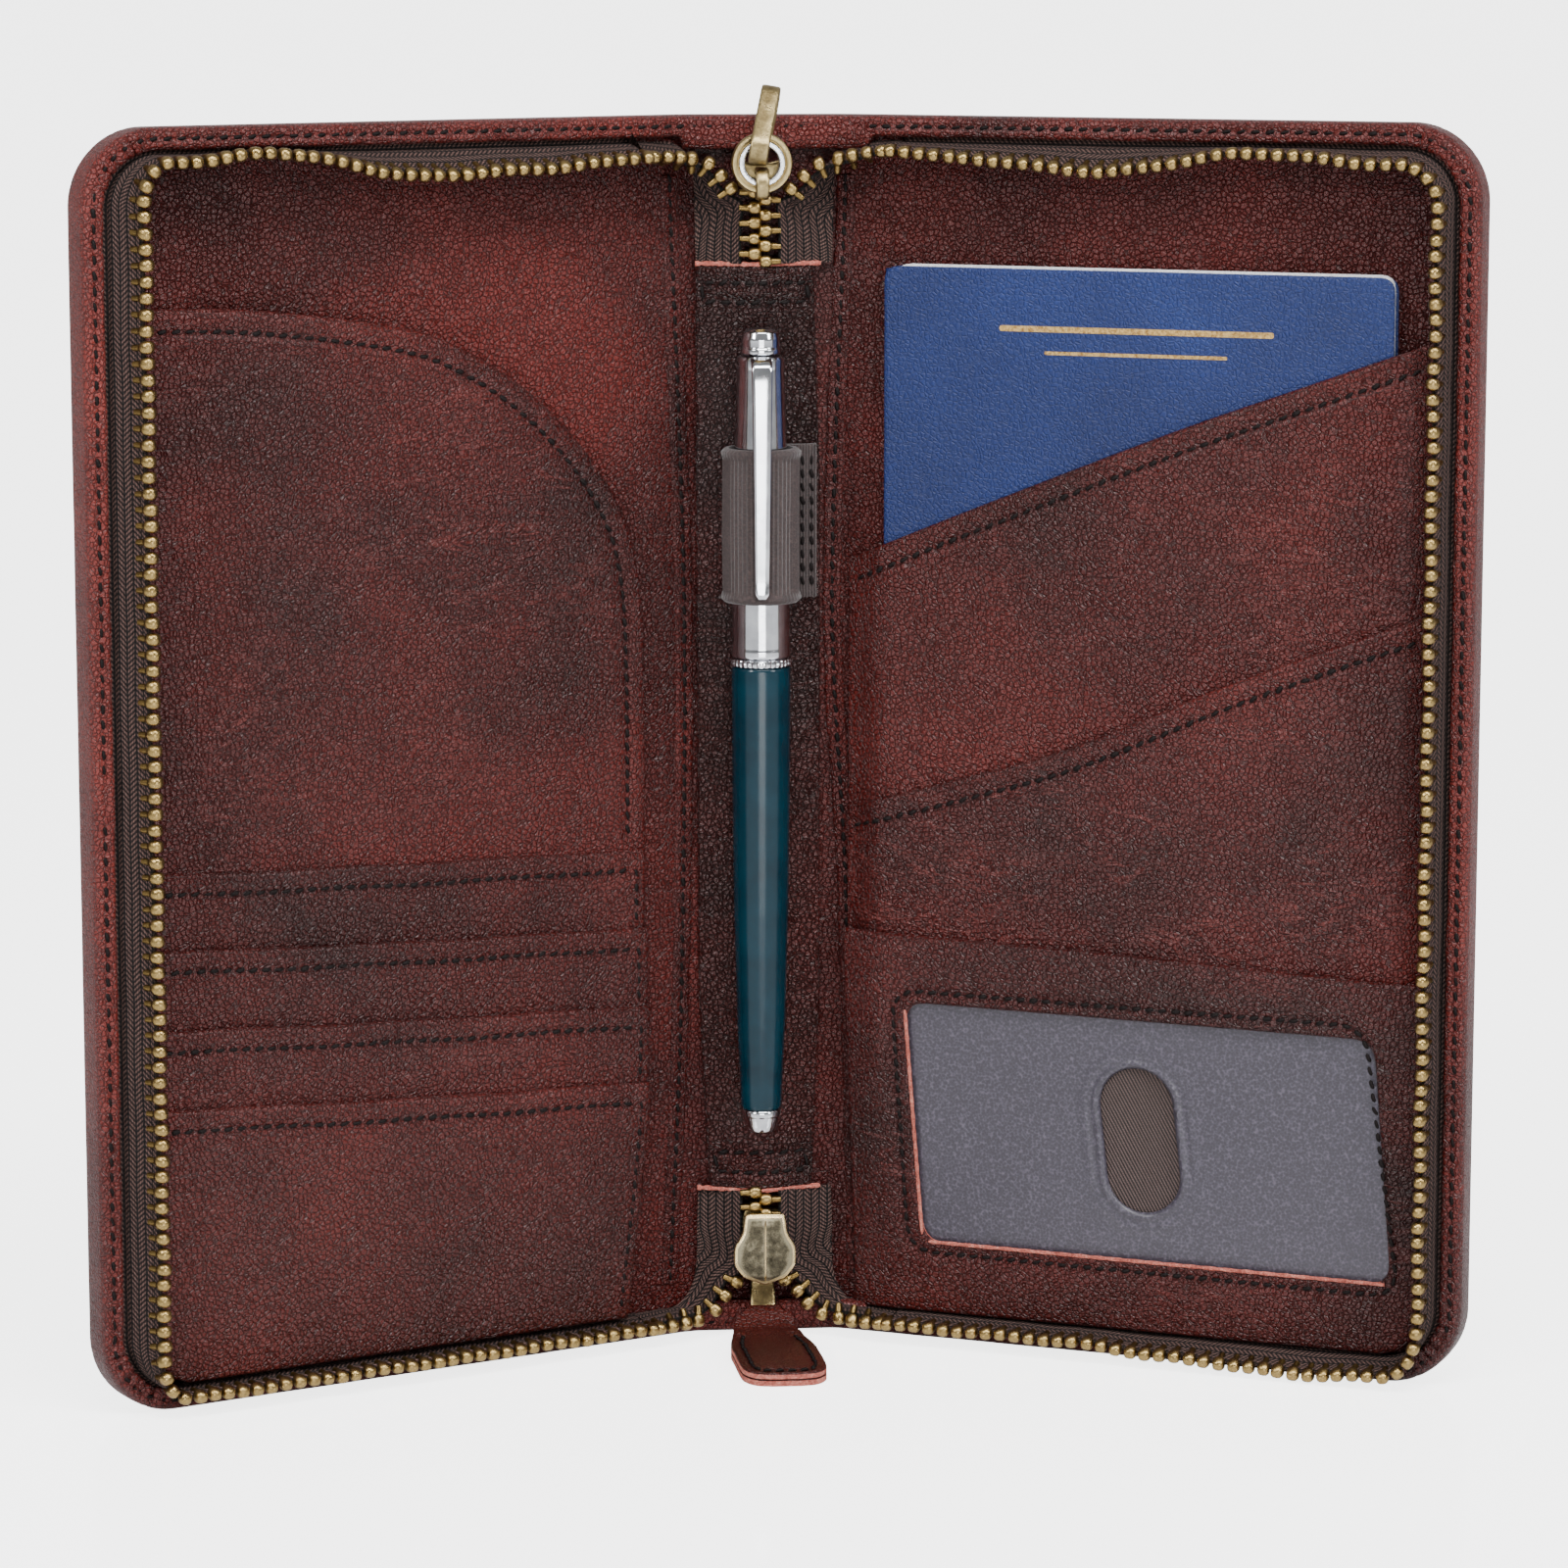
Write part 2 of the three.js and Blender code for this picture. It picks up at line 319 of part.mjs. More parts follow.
const ZR = 204.2;
{
  // the ring: a grooved washer, its hole facing the reader, hung on the slider's hook
  const pr = [[2.9, -0.9], [3.5, -1.1], [3.9, -0.5], [4.4, -1.1], [5.1, -0.8], [5.1, 0.8], [4.4, 1.1], [3.5, 1.1], [2.9, 0.9], [2.9, -0.9]];
  const g = new THREE.LatheGeometry(pr.map((p) => new THREE.Vector2(p[0], p[1])), 28);
  g.translate(0, -9.2, 0); // its own axis is Y, kept along Y
  g.translate(XC, 0, ZR);
  place(tg, "slider_ring_top", g, "brass");
}
{
  // the bail: a strap bent into a long narrow loop round the top of the ring, leaning back
  const b = new THREE.Group();
  b.position.set(XC, -9.2, ZR + 4.0);
  b.rotation.set(THREE.MathUtils.degToRad(-38), THREE.MathUtils.degToRad(12), 0, "YXZ");
  const loop = (hw, z0, z1) => { const o = []; for (let k = 0; k <= 10; k++) { const a = (k / 10) * Math.PI; o.push([hw * Math.cos(a), z1 - hw + hw * Math.sin(a)]); } for (let k = 0; k <= 10; k++) { const a = Math.PI + (k / 10) * Math.PI; o.push([hw * Math.cos(a), z0 + hw + hw * Math.sin(a)]); } return o; };
  const s = new THREE.Shape(loop(2.9, -4.2, 10.2).map(([y, z]) => new THREE.Vector2(y, z)));
  s.holes.push(new THREE.Path(loop(2.0, -3.3, 9.3).reverse().map(([y, z]) => new THREE.Vector2(y, z))));
  const g = new THREE.ExtrudeGeometry(s, { depth: 3.2, bevelEnabled: false, steps: 1 });
  g.rotateY(Math.PI / 2); g.rotateX(Math.PI / 2);
  g.translate(-1.6, 0, 0);
  place(b, "pull_bail_top", g, "brass");
  root.add(b);
}
{
  const c = XC + 0.6; // the shield hangs a little to the right
  const p = [[c - 3.5, 22.3], [c + 3.5, 22.3], [c + 3.9, 18.9], [c + 5.4, 16.4], [c + 5.4, 13.2], [c + 3.7, 11.0], [c, 9.6], [c - 3.7, 11.0], [c - 5.4, 13.2], [c - 5.4, 16.4], [c - 3.9, 18.9]];
  const crown = join(box(c - 1.2, c + 1.2, -2.6, -0.4, 17.6, 18.6), box(c - 1.2, c + 1.2, -1.1, -0.4, 13.6, 18.6), box(c - 1.2, c + 1.2, -2.6, -0.4, 13.6, 14.4));
  place(root, "zip_slider_bottom", slider(22.3, 9.8, p, [crown]), "brass");
  // the link: a flat ring bent forward below the slider, from the crown down to the tag
  const band = (line, t) => {
    const a = [], b = [];
    line.forEach((p, i) => {
      const q = line[Math.max(0, i - 1)], r = line[Math.min(line.length - 1, i + 1)], l = Math.hypot(r[0] - q[0], r[1] - q[1]), n = [-(r[1] - q[1]) / l, (r[0] - q[0]) / l];
      a.push([p[0] + n[0] * t, p[1] + n[1] * t]); b.push([p[0] - n[0] * t, p[1] - n[1] * t]);
    });
    return [...a, ...b.reverse()];
  };
  const across = (profile, x0, x1) => { // a polygon in the y-z plane given width along x
    const g = new THREE.ExtrudeGeometry(new THREE.Shape(profile.map(([y, z]) => new THREE.Vector2(y, z))), { depth: x1 - x0, bevelEnabled: false, steps: 1 });
    g.rotateY(Math.PI / 2); g.rotateX(Math.PI / 2);
    g.translate(x0, 0, 0);
    return g;
  };
  const link = across(band([[-1.7, 17.1], [-1.7, 9.3], [-4.75, 2.1]], 0.3), c - 4.0, c + 4.0);
  place(root, "pull_link_bottom", cut(link, slab([[c - 4.1, 18], [c - 2.7, 18], [c - 4.1, 5]], -8, 0), slab([[c + 2.7, 18], [c + 4.1, 18], [c + 4.1, 5]], -8, 0),
    slab([[c - 1.8, 16.2], [c - 3.0, 3.0], [c + 3.0, 3.0], [c + 1.8, 16.2]], -8, 0)), "brass");
  // the leather tag: one strap folded round the link's bar, its two plies lying forward along the floor
  const fold = [];
  for (let k = 0; k <= 6; k++) { const a = Math.PI / 2 - (k / 6) * Math.PI; fold.push([-4.75 + 1.35 * Math.cos(a), 2.6 + 1.35 * Math.sin(a)]); }
  const strap = across(band([[-39.2, 1.8], [-30, 1.8], [-16, 1.8], [-12.5, 1.9], [-10.6, 2.4], [-8.6, 3.5], [-6.6, 3.85], ...fold, [-6.6, 0.95], [-9, 0.5], [-16, 0.5], [-30, 0.5], [-39.2, 0.5]], 0.5), c - 9, c + 9);
  const half = [[2.5, -2.5], [2.5, -6.2], [5.3, -7.6], [5.2, -11], [6.8, -15.5], [7.3, -24], [7.3, -33], [6.7, -36.4], [5.0, -38.6], [2.4, -39.1]];
  const plan = new THREE.ExtrudeGeometry(new THREE.Shape([...half.map(([x, y]) => new THREE.Vector2(c + x, y)), ...half.reverse().map(([x, y]) => new THREE.Vector2(c - x, y))]), { depth: 12, bevelEnabled: false });
  plan.translate(0, 0, -3);
  place(root, "pull_tag_bottom", geometry(solid(strap).intersect(solid(plan))), "leather");
}

// everything moves back so that the middle of the depth is the origin
const out = new THREE.Group();
root.position.set(X0, Y0, 0);
out.add(root);
export default out;
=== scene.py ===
# Looks for the travel document organizer: leather, woven zip tape, antique-brass zip, pen, booklet and window,
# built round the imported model. Local sizes are millimetres in the cover's own directions: u from the fold line
# outward, z up, d in front of the lining. M() and P() turn them into the frame's metres.
import bpy, bmesh, math
import numpy as np
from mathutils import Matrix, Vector, noise
from mathutils.geometry import delaunay_2d_cdt


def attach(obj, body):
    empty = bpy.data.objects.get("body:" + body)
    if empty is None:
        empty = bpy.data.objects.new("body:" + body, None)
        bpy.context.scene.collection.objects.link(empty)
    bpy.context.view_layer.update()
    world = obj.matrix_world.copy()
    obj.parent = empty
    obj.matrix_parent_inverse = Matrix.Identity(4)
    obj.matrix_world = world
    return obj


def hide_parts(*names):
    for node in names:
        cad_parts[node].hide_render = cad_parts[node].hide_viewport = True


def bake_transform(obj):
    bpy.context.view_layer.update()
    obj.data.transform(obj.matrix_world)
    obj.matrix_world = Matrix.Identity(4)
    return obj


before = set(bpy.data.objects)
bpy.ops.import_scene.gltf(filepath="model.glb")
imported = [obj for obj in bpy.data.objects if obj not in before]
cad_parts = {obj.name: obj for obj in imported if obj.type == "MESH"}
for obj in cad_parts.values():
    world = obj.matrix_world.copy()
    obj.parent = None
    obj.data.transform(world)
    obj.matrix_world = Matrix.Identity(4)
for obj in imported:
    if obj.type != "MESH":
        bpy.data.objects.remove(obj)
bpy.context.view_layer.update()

W, H, R, S = 112.4, 212.0, 13.0, 26.2
TH = math.radians(26.0)
XC, Y0, ZP = -1.0, 24.99, 5.0
PX, PY = -1.15, 8.6
BIND = 3.6
rng = np.random.default_rng(7)

# ------------------------------------------------------------------ coordinates
BW = 3.2  # half length of the leather's bend at each fold
_n = 64
_ss = np.linspace(-BW, BW, _n)
_w = (_ss + BW) / (2 * BW)
_ph = TH * (_w * _w * (3 - 2 * _w))
_cx = np.concatenate([[0], np.cumsum((np.cos(_ph[1:]) + np.cos(_ph[:-1])) / 2 * np.diff(_ss))])
_cy = np.concatenate([[0], np.cumsum((np.sin(_ph[1:]) + np.sin(_ph[:-1])) / 2 * np.diff(_ss))])


def M(side, s, d, z):
    """s along the unrolled lining from the middle of the spine, bending smoothly at the fold. Arrays in, metres out."""
    s, d, z = np.broadcast_arrays(np.asarray(s, float), np.asarray(d, float), np.asarray(z, float))
    u = s - S / 2
    ph = np.interp(u, _ss, _ph)
    bx = np.interp(u, _ss, _cx) - BW
    by = np.interp(u, _ss, _cy)
    ex, ey = _cx[-1] - BW, _cy[-1]
    x = np.where(u < -BW, u, np.where(u > BW, ex + (u - BW) * math.cos(TH), bx))
    y = np.where(u < -BW, 0.0, np.where(u > BW, ey + (u - BW) * math.sin(TH), by))
    # far from the fold this meets the straight cover exactly
    fx = ex - BW * math.cos(TH); fy = ey - BW * math.sin(TH)
    k = np.clip((u + BW) / (2 * BW), 0, 1)
    x = x - fx * k; y = y - fy * k
    X = side * (S / 2 + x - d * np.sin(ph))
    Y = -(y) - d * np.cos(ph)
    return np.stack([X, Y + Y0, z], -1) / 1000.0


def P(side, u, d, z):
    return M(side, np.asarray(u, float) + S / 2, d, z)


def Q(x, d, z):
    """spine coordinates: x across, d in front of the spine's lining, z up"""
    x, d, z = np.broadcast_arrays(np.asarray(x, float), np.asarray(d, float), np.asarray(z, float))
    return np.stack([x, Y0 - d, z], -1) / 1000.0


def pnoise(pts, scale, seed=0.0, octaves=3):
    out = np.empty(len(pts))
    for i, p in enumerate(pts):
        out[i] = noise.fractal(Vector((p[0] * scale + seed, p[1] * scale + seed * 1.7, (p[2] if len(p) > 2 else 0.0) * scale)), 0.9, 2.0, octaves)
    return out


def smooth(a, b, x):
    t = np.clip((np.asarray(x, float) - a) / (b - a), 0, 1)
    return t * t * (3 - 2 * t)


# ------------------------------------------------------------------ materials
def nt(mat):
    mat.use_nodes = True
    t = mat.node_tree
    t.nodes.clear()
    return t


class N:
    """a short way to write shader nodes"""

    def __init__(self, mat):
        self.t = nt(mat)
        self.out = self.t.nodes.new("ShaderNodeOutputMaterial")

    def __call__(self, kind, **kw):
        n = self.t.nodes.new("ShaderNode" + kind)
        for k, v in kw.items():
            if k.startswith("i_"):
                key = k[2:]
                key = int(key) if key.isdigit() else key.replace("_", " ")
                self.put(n, key, v)
            else:
                setattr(n, k, v)
        return n

    def put(self, n, key, v):
        s = n.inputs[key]
        if isinstance(v, bpy.types.NodeSocket):
            self.t.links.new(v, s)
        else:
            s.default_value = v

    def math(self, op, a, b=0.0, c=None, clamp=False):
        n = self.t.nodes.new("ShaderNodeMath")
        n.operation = op
        n.use_clamp = clamp
        self.put(n, 0, a); self.put(n, 1, b)
        if c is not None:
            self.put(n, 2, c)
        return n.outputs[0]

    def mix(self, f, a, b):
        n = self.t.nodes.new("ShaderNodeMix")
        n.data_type = "RGBA"
        self.put(n, 0, f); self.put(n, 6, a); self.put(n, 7, b)
        return n.outputs[2]

    def ramp(self, f, stops, mode="LINEAR"):
        n = self.t.nodes.new("ShaderNodeValToRGB")
        n.color_ramp.interpolation = mode
        e = n.color_ramp.elements
        e[0].position, e[0].color = stops[0][0], stops[0][1]
        e[1].position, e[1].color = stops[-1][0], stops[-1][1]
        for p, c in stops[1:-1]:
            x = e.new(p)
            x.color = c
        self.put(n, 0, f)
        return n.outputs[0]

    def bump(self, h, strength, dist, normal=None):
        n = self.t.nodes.new("ShaderNodeBump")
        n.inputs["Strength"].default_value = strength
        n.inputs["Distance"].default_value = dist
        self.put(n, "Height", h)
        if normal is not None:
            self.put(n, "Normal", normal)
        return n.outputs[0]

    def obj(self, scale=(1, 1, 1), rot=(0, 0, 0)):
        c = self("TexCoord")
        m = self("Mapping")
        m.inputs["Scale"].default_value = scale
        m.inputs["Rotation"].default_value = rot
        self.t.links.new(c.outputs["Object"], m.inputs["Vector"])
        return m.outputs[0]

    def noise(self, vec, scale, detail=2.0, rough=0.5, dist=0.0):
        n = self("TexNoise")
        self.put(n, "Vector", vec)
        n.inputs["Scale"].default_value = scale
        n.inputs["Detail"].default_value = detail
        n.inputs["Roughness"].default_value = rough
        n.inputs["Distortion"].default_value = dist
        return n.outputs["Fac"]

    def voronoi(self, vec, scale, feature="F1", rnd=1.0):
        n = self("TexVoronoi")
        n.feature = feature
        self.put(n, "Vector", vec)
        n.inputs["Scale"].default_value = scale
        n.inputs["Randomness"].default_value = rnd
        return n.outputs["Distance"]

    def bsdf(self, **kw):
        b = self.t.nodes.new("ShaderNodeBsdfPrincipled")
        for k, v in kw.items():
            self.put(b, k.replace("_", " "), v)
        self.t.links.new(b.outputs[0], self.out.inputs[0])
        return b


def srgb(r, g, b, a=1.0):
    f = lambda c: (c / 255 / 12.92) if c <= 10 else ((c / 255 + 0.055) / 1.055) ** 2.4
    return (f(r), f(g), f(b), a)


def leather(name, dark, mid, light, creases=0.0, grain=1.0, seed=0.0, rough=(0.30, 0.44)):
    m = bpy.data.materials.new(name)
    n = N(m)
    v = n.obj()
    v2 = n("Mapping")
    n.t.links.new(v, v2.inputs[0])
    v2.inputs["Location"].default_value = (seed, seed * 0.7, seed * 1.3)
    sv = v2.outputs[0]
    # big soft patches where the dye lies darker or ruddier
    big = n.noise(sv, 19, 3.0, 0.5, 0.4)
    mid_n = n.noise(sv, 62, 3.0, 0.55, 0.2)
    tone = n.math("ADD", n.math("MULTIPLY", big, 0.72), n.math("MULTIPLY", mid_n, 0.28))
    col = n.ramp(tone, [(0.28, dark), (0.47, mid), (0.70, light)])
    # pebble grain: cells, with painted shade darkening the furrows between them
    warp = n.noise(sv, 700, 2.0, 0.5)
    wv = n("VectorMath", operation="ADD")
    n.put(wv, 0, sv)
    sc = n("VectorMath", operation="SCALE")
    wn = n("TexNoise")
    n.put(wn, "Vector", sv); wn.inputs["Scale"].default_value = 900
    n.t.links.new(wn.outputs["Color"], sc.inputs[0]); sc.inputs["Scale"].default_value = 0.00045
    n.t.links.new(sc.outputs[0], wv.inputs[1])
    cells = n.voronoi(wv.outputs[0], 1180, "DISTANCE_TO_EDGE")
    fine = n.voronoi(wv.outputs[0], 2600, "F1")
    furrow = n.math("MULTIPLY", n.math("MINIMUM", cells, 0.16), 6.2)
    h = n.math("ADD", n.math("MULTIPLY", furrow, 0.75), n.math("MULTIPLY", n.math("SUBTRACT", 1.0, fine), 0.42))
    h = n.math("ADD", h, n.math("MULTIPLY", warp, 0.5))
    # painted shade: the colour goes darker in the furrows between the grain cells
    furrow_shade = n.math("MULTIPLY", n.math("SUBTRACT", 1.0, furrow, clamp=True), 0.7)
    col = n.mix(furrow_shade, col, (dark[0] * 0.45, dark[1] * 0.45, dark[2] * 0.45, 1))
    # painted highlight: small pale specks scattered at random over the leather stand in for glints on the grain
    glint_specks = n.math("POWER", n.noise(sv, 2600, 2.0, 0.6), 3.0)
    pale = (min(1, light[0] * 1.7 + 0.02), min(1, light[1] * 2.0 + 0.02), min(1, light[2] * 2.0 + 0.02), 1)
    col = n.mix(n.math("MULTIPLY", glint_specks, 0.12 * grain, clamp=True), col, pale)
    nrm = n.bump(n.noise(sv, 34, 2.0, 0.45), 0.55, 0.005)
    nrm = n.bump(h, min(1.0, 0.72 * grain), 0.0005, nrm)
    if creases > 0:
        cr = None
        for k, (rot, sc2, den) in enumerate([((0, 0.9, 0.3), (1, 1, 5.2), 46), ((0, -0.5, 0.2), (1, 1, 4.2), 70)]):
            cv = n.obj(scale=sc2, rot=rot)
            cn = n.noise(cv, den, 3.0, 0.6, 0.9)
            line = n.math("SUBTRACT", 1.0, n.math("MULTIPLY", n.math("ABSOLUTE", n.math("SUBTRACT", cn, 0.5)), 34.0), clamp=True)
            gate = n.math("MULTIPLY", n.math("SUBTRACT", n.noise(sv, 24 + 9 * k, 2.0), 0.5), 7.0, clamp=True)
            line = n.math("MULTIPLY", line, gate)
            cr = line if cr is None else n.math("MAXIMUM", cr, line)
        nrm = n.bump(cr, 0.5 * creases, 0.0004, nrm)
        # painted highlight: the crease lines are tinted paler
        col = n.mix(n.math("MULTIPLY", cr, 0.30 * creases), col, pale)
    nrm = n.bump(n.noise(sv, 420, 3.0, 0.55), 0.2, 0.0004, nrm)
    ro = n.ramp(n.math("ADD", n.math("MULTIPLY", big, 0.5), n.math("MULTIPLY", n.noise(sv, 1500, 2.0), 0.5)), [(0.3, (rough[0],) * 3 + (1,)), (0.7, (rough[1],) * 3 + (1,))])
    b = n.bsdf(Base_Color=col, Roughness=ro, Normal=nrm)
    b.inputs["Specular IOR Level"].default_value = 0.34
    b.inputs["Coat Weight"].default_value = 0.05
    b.inputs["Coat Roughness"].default_value = 0.25
    return m


D1, M1, L1 = srgb(26, 4, 3), srgb(60, 10, 7), srgb(88, 22, 17)
MAT = {}
MAT["lining"] = leather("leather_lining", D1, M1, L1, 0.5, 1.0, 0.13)
MAT["pocket"] = leather("leather_pocket", srgb(28, 5, 4), srgb(61, 11, 8), srgb(86, 22, 17), 1.0, 1.0, 0.41)
MAT["pocket2"] = leather("leather_pocket_slant", srgb(30, 6, 5), srgb(64, 13, 10), srgb(90, 26, 21), 1.2, 1.0, 0.77)
MAT["slot"] = leather("leather_slots", srgb(27, 5, 4), srgb(60, 12, 9), srgb(85, 23, 18), 0.5, 1.0, 0.93)
MAT["spine"] = leather("leather_spine", srgb(12, 3, 2), srgb(38, 7, 5), srgb(72, 17, 13), 0.5, 1.25, 0.29, rough=(0.26, 0.38))
MAT["binding"] = leather("leather_binding", srgb(44, 10, 9), srgb(84, 24, 20), srgb(114, 42, 36), 0.35, 1.0, 0.57)
MAT["outer"] = leather("leather_outer", srgb(26, 7, 6), srgb(58, 15, 12), srgb(84, 28, 23), 0.45, 1.0, 0.67)
MAT["tag"] = leather("leather_tag", srgb(36, 10, 8), srgb(57, 16, 12), srgb(82, 28, 22), 0.0, 0.7, 0.21)


def raw_edge():
    m = bpy.data.materials.new("leather_raw_edge")
    n = N(m)
    v = n.obj()
    f = n.noise(v, 2600, 4.0, 0.7)
    g = n.noise(v, 500, 3.0, 0.6)
    col = n.ramp(n.math("ADD", n.math("MULTIPLY", f, 0.6), n.math("MULTIPLY", g, 0.4)), [(0.32, srgb(104, 48, 42)), (0.5, srgb(168, 92, 80)), (0.7, srgb(212, 146, 128))])
    b = n.bsdf(Base_Color=col, Roughness=0.85, Normal=n.bump(f, 0.8, 0.0003))
    b.inputs["Specular IOR Level"].default_value = 0.25
    return m


MAT["raw"] = raw_edge()


def thread():
    m = bpy.data.materials.new("thread")
    n = N(m)
    v = n.obj()
    f = n.noise(v, 3800, 3.0, 0.6)
    col = n.ramp(f, [(0.4, srgb(6, 2, 2)), (0.7, srgb(20, 9, 8)), (0.92, srgb(66, 38, 34))])
    b = n.bsdf(Base_Color=col, Roughness=0.7, Normal=n.bump(n.noise(n.obj(), 5200, 2.0), 0.3, 0.0002))
    b.inputs["Specular IOR Level"].default_value = 0.2
    return m


MAT["thread"] = thread()


def tape():
    m = bpy.data.materials.new("zip_tape_weave")
    n = N(m)
    uv = n("UVMap", uv_map="weave")
    sep = n("SeparateXYZ")
    n.t.links.new(uv.outputs[0], sep.inputs[0])
    L, A = sep.outputs[0], sep.outputs[1]  # millimetres along and across
    colw = 1.55
    a = n.math("DIVIDE", A, colw)
    tri = n.math("PINGPONG", a, 1.0)  # 0..1..0 across two columns: the herringbone's zigzag
    ph = n.math("DIVIDE", n.math("ADD", L, n.math("MULTIPLY", tri, 1.35)), 0.86)
    fr = n.math("FRACT", ph)
    thr = n.math("SINE", n.math("MULTIPLY", fr, math.pi))
    ribs = n.math("ABSOLUTE", n.math("SINE", n.math("MULTIPLY", n.math("DIVIDE", A, 0.52), math.pi)))
    h = n.math("ADD", n.math("MULTIPLY", thr, 0.75), n.math("MULTIPLY", ribs, 0.35))
    seam = n.math("MULTIPLY", n.math("SUBTRACT", 1.0, n.math("MULTIPLY", n.math("ABSOLUTE", n.math("SUBTRACT", n.math("PINGPONG", a, 0.5), 0.0)), 5.0), clamp=True), 0.6)
    h = n.math("SUBTRACT", h, seam)
    fuzz = n.noise(n.obj(), 3600, 3.0, 0.7)
    tone = n.math("ADD", n.math("MULTIPLY", h, 0.62), n.math("MULTIPLY", fuzz, 0.34))
    col = n.ramp(tone, [(0.25, srgb(5, 3, 3)), (0.6, srgb(40, 27, 25)), (0.95, srgb(116, 88, 80))])
    nr = n.bump(h, 0.9, 0.0003)
    nr = n.bump(fuzz, 0.5, 0.0002, nr)
    b = n.bsdf(Base_Color=col, Roughness=0.8, Normal=nr)
    b.inputs["Specular IOR Level"].default_value = 0.3
    return m


MAT["tape"] = tape()


def brass(name, dark, mid, light, rough=0.3, brushed=0.0, scale=1.0):
    m = bpy.data.materials.new(name)
    n = N(m)
    v = n.obj()
    big = n.noise(v, 420 * scale, 4.0, 0.65)
    fine = n.noise(v, 2600 * scale, 3.0, 0.7)
    geo = n("NewGeometry")
    pt = n.math("MULTIPLY", n.math("SUBTRACT", geo.outputs["Pointiness"], 0.5), 9.0)
    tone = n.math("ADD", n.math("ADD", n.math("MULTIPLY", big, 0.65), n.math("MULTIPLY", fine, 0.35)), pt)
    col = n.ramp(tone, [(0.36, dark), (0.52, mid), (0.72, light)])
    h = fine
    if brushed > 0:
        st = n.noise(n.obj(scale=(1, 1, 0.06)), 5200, 2.0, 0.6)
        h = n.math("ADD", fine, n.math("MULTIPLY", st, brushed))
        col = n.mix(n.math("MULTIPLY", st, 0.25), col, light)
    ro = n.ramp(big, [(0.3, (rough + 0.16,) * 3 + (1,)), (0.7, (rough - 0.04,) * 3 + (1,))])
    b = n.bsdf(Base_Color=col, Metallic=1.0, Roughness=ro, Normal=n.bump(h, 0.25, 0.0002))
    return m


MAT["teeth"] = brass("brass_teeth", srgb(20, 15, 8), srgb(70, 56, 32), srgb(156, 132, 84), 0.25)
MAT["teeth_legs"] = brass("brass_tooth_legs", srgb(14, 10, 6), srgb(48, 37, 21), srgb(126, 104, 62), 0.3)
MAT["slider"] = brass("brass_slider", srgb(40, 33, 21), srgb(98, 83, 54), srgb(164, 146, 104), 0.28, 0.6)
MAT["steel_liner"] = brass("liner_steel", srgb(120, 122, 128), srgb(176, 178, 184), srgb(226, 228, 232), 0.2)
MAT["shield"] = brass("brass_shield", srgb(60, 56, 44), srgb(96, 90, 74), srgb(150, 142, 118), 0.42, 0.0, 1.6)
MAT["rim"] = brass("brass_rim", srgb(110, 90, 56), srgb(168, 144, 98), srgb(214, 192, 144), 0.24)


def chrome():
    m = bpy.data.materials.new("chrome")
    n = N(m)
    v = n.obj()
    f = n.noise(v, 300, 3.0, 0.6)
    col = n.ramp(f, [(0.3, srgb(196, 198, 203)), (0.7, srgb(226, 228, 232))])
    ro = n.ramp(f, [(0.3, (0.07,) * 3 + (1,)), (0.7, (0.14,) * 3 + (1,))])
    n.bsdf(Base_Color=col, Metallic=1.0, Roughness=ro, Normal=n.bump(n.noise(v, 90, 2.0), 0.05, 0.0004))
    return m


MAT["chrome"] = chrome()


def lacquer():
    m = bpy.data.materials.new("teal_lacquer")
    n = N(m)
    v = n.obj()
    f = n.noise(v, 160, 3.0, 0.6)
    sp = n.math("POWER", n.noise(v, 4200, 2.0, 0.6), 5.0)
    col = n.mix(n.math("MULTIPLY", sp, 0.25), n.ramp(f, [(0.3, srgb(1, 29, 40)), (0.7, srgb(3, 42, 54))]), srgb(20, 72, 84))
    b = n.bsdf(Base_Color=col, Roughness=0.22, Normal=n.bump(f, 0.06, 0.0004))
    b.inputs["Specular IOR Level"].default_value = 0.3
    b.inputs["Coat Weight"].default_value = 0.12
    b.inputs["Coat Roughness"].default_value = 0.06
    return m


MAT["lacquer"] = lacquer()


def elastic():
    m = bpy.data.materials.new("elastic")
    n = N(m)
    f = n.noise(n.obj(), 3000, 3.0, 0.7)
    w = n.noise(n.obj(scale=(1, 1, 3.5)), 1500, 2.0, 0.6)
    col = n.ramp(n.math("ADD", n.math("MULTIPLY", f, 0.5), n.math("MULTIPLY", w, 0.5)), [(0.32, srgb(18, 11, 11)), (0.5, srgb(44, 30, 29)), (0.7, srgb(78, 60, 57))])
    b = n.bsdf(Base_Color=col, Roughness=0.75, Normal=n.bump(f, 0.6, 0.0002))
    b.inputs["Sheen Weight"].default_value = 0.3
    return m


MAT["elastic"] = elastic()


def book():
    m = bpy.data.materials.new("booklet_blue")
    n = N(m)
    v = n.obj()
    c = n.voronoi(v, 1250, "DISTANCE_TO_EDGE")
    fu = n.math("MULTIPLY", n.math("MINIMUM", c, 0.2), 5.0)
    f = n.noise(v, 2400, 3.0, 0.6)
    big = n.noise(v, 30, 2.0)
    col = n.ramp(n.math("ADD", n.math("MULTIPLY", f, 0.5), n.math("MULTIPLY", big, 0.5)), [(0.35, srgb(9, 24, 68)), (0.55, srgb(16, 37, 92)), (0.75, srgb(36, 62, 126))])
    # painted shade: the furrows between the grain cells are darkened
    col = n.mix(n.math("MULTIPLY", n.math("SUBTRACT", 1.0, fu, clamp=True), 0.35), col, srgb(18, 32, 72))
    b = n.bsdf(Base_Color=col, Roughness=0.5, Normal=n.bump(n.math("ADD", fu, f), 0.55, 0.0002))
    b.inputs["Specular IOR Level"].default_value = 0.4
    return m


MAT["book"] = book()


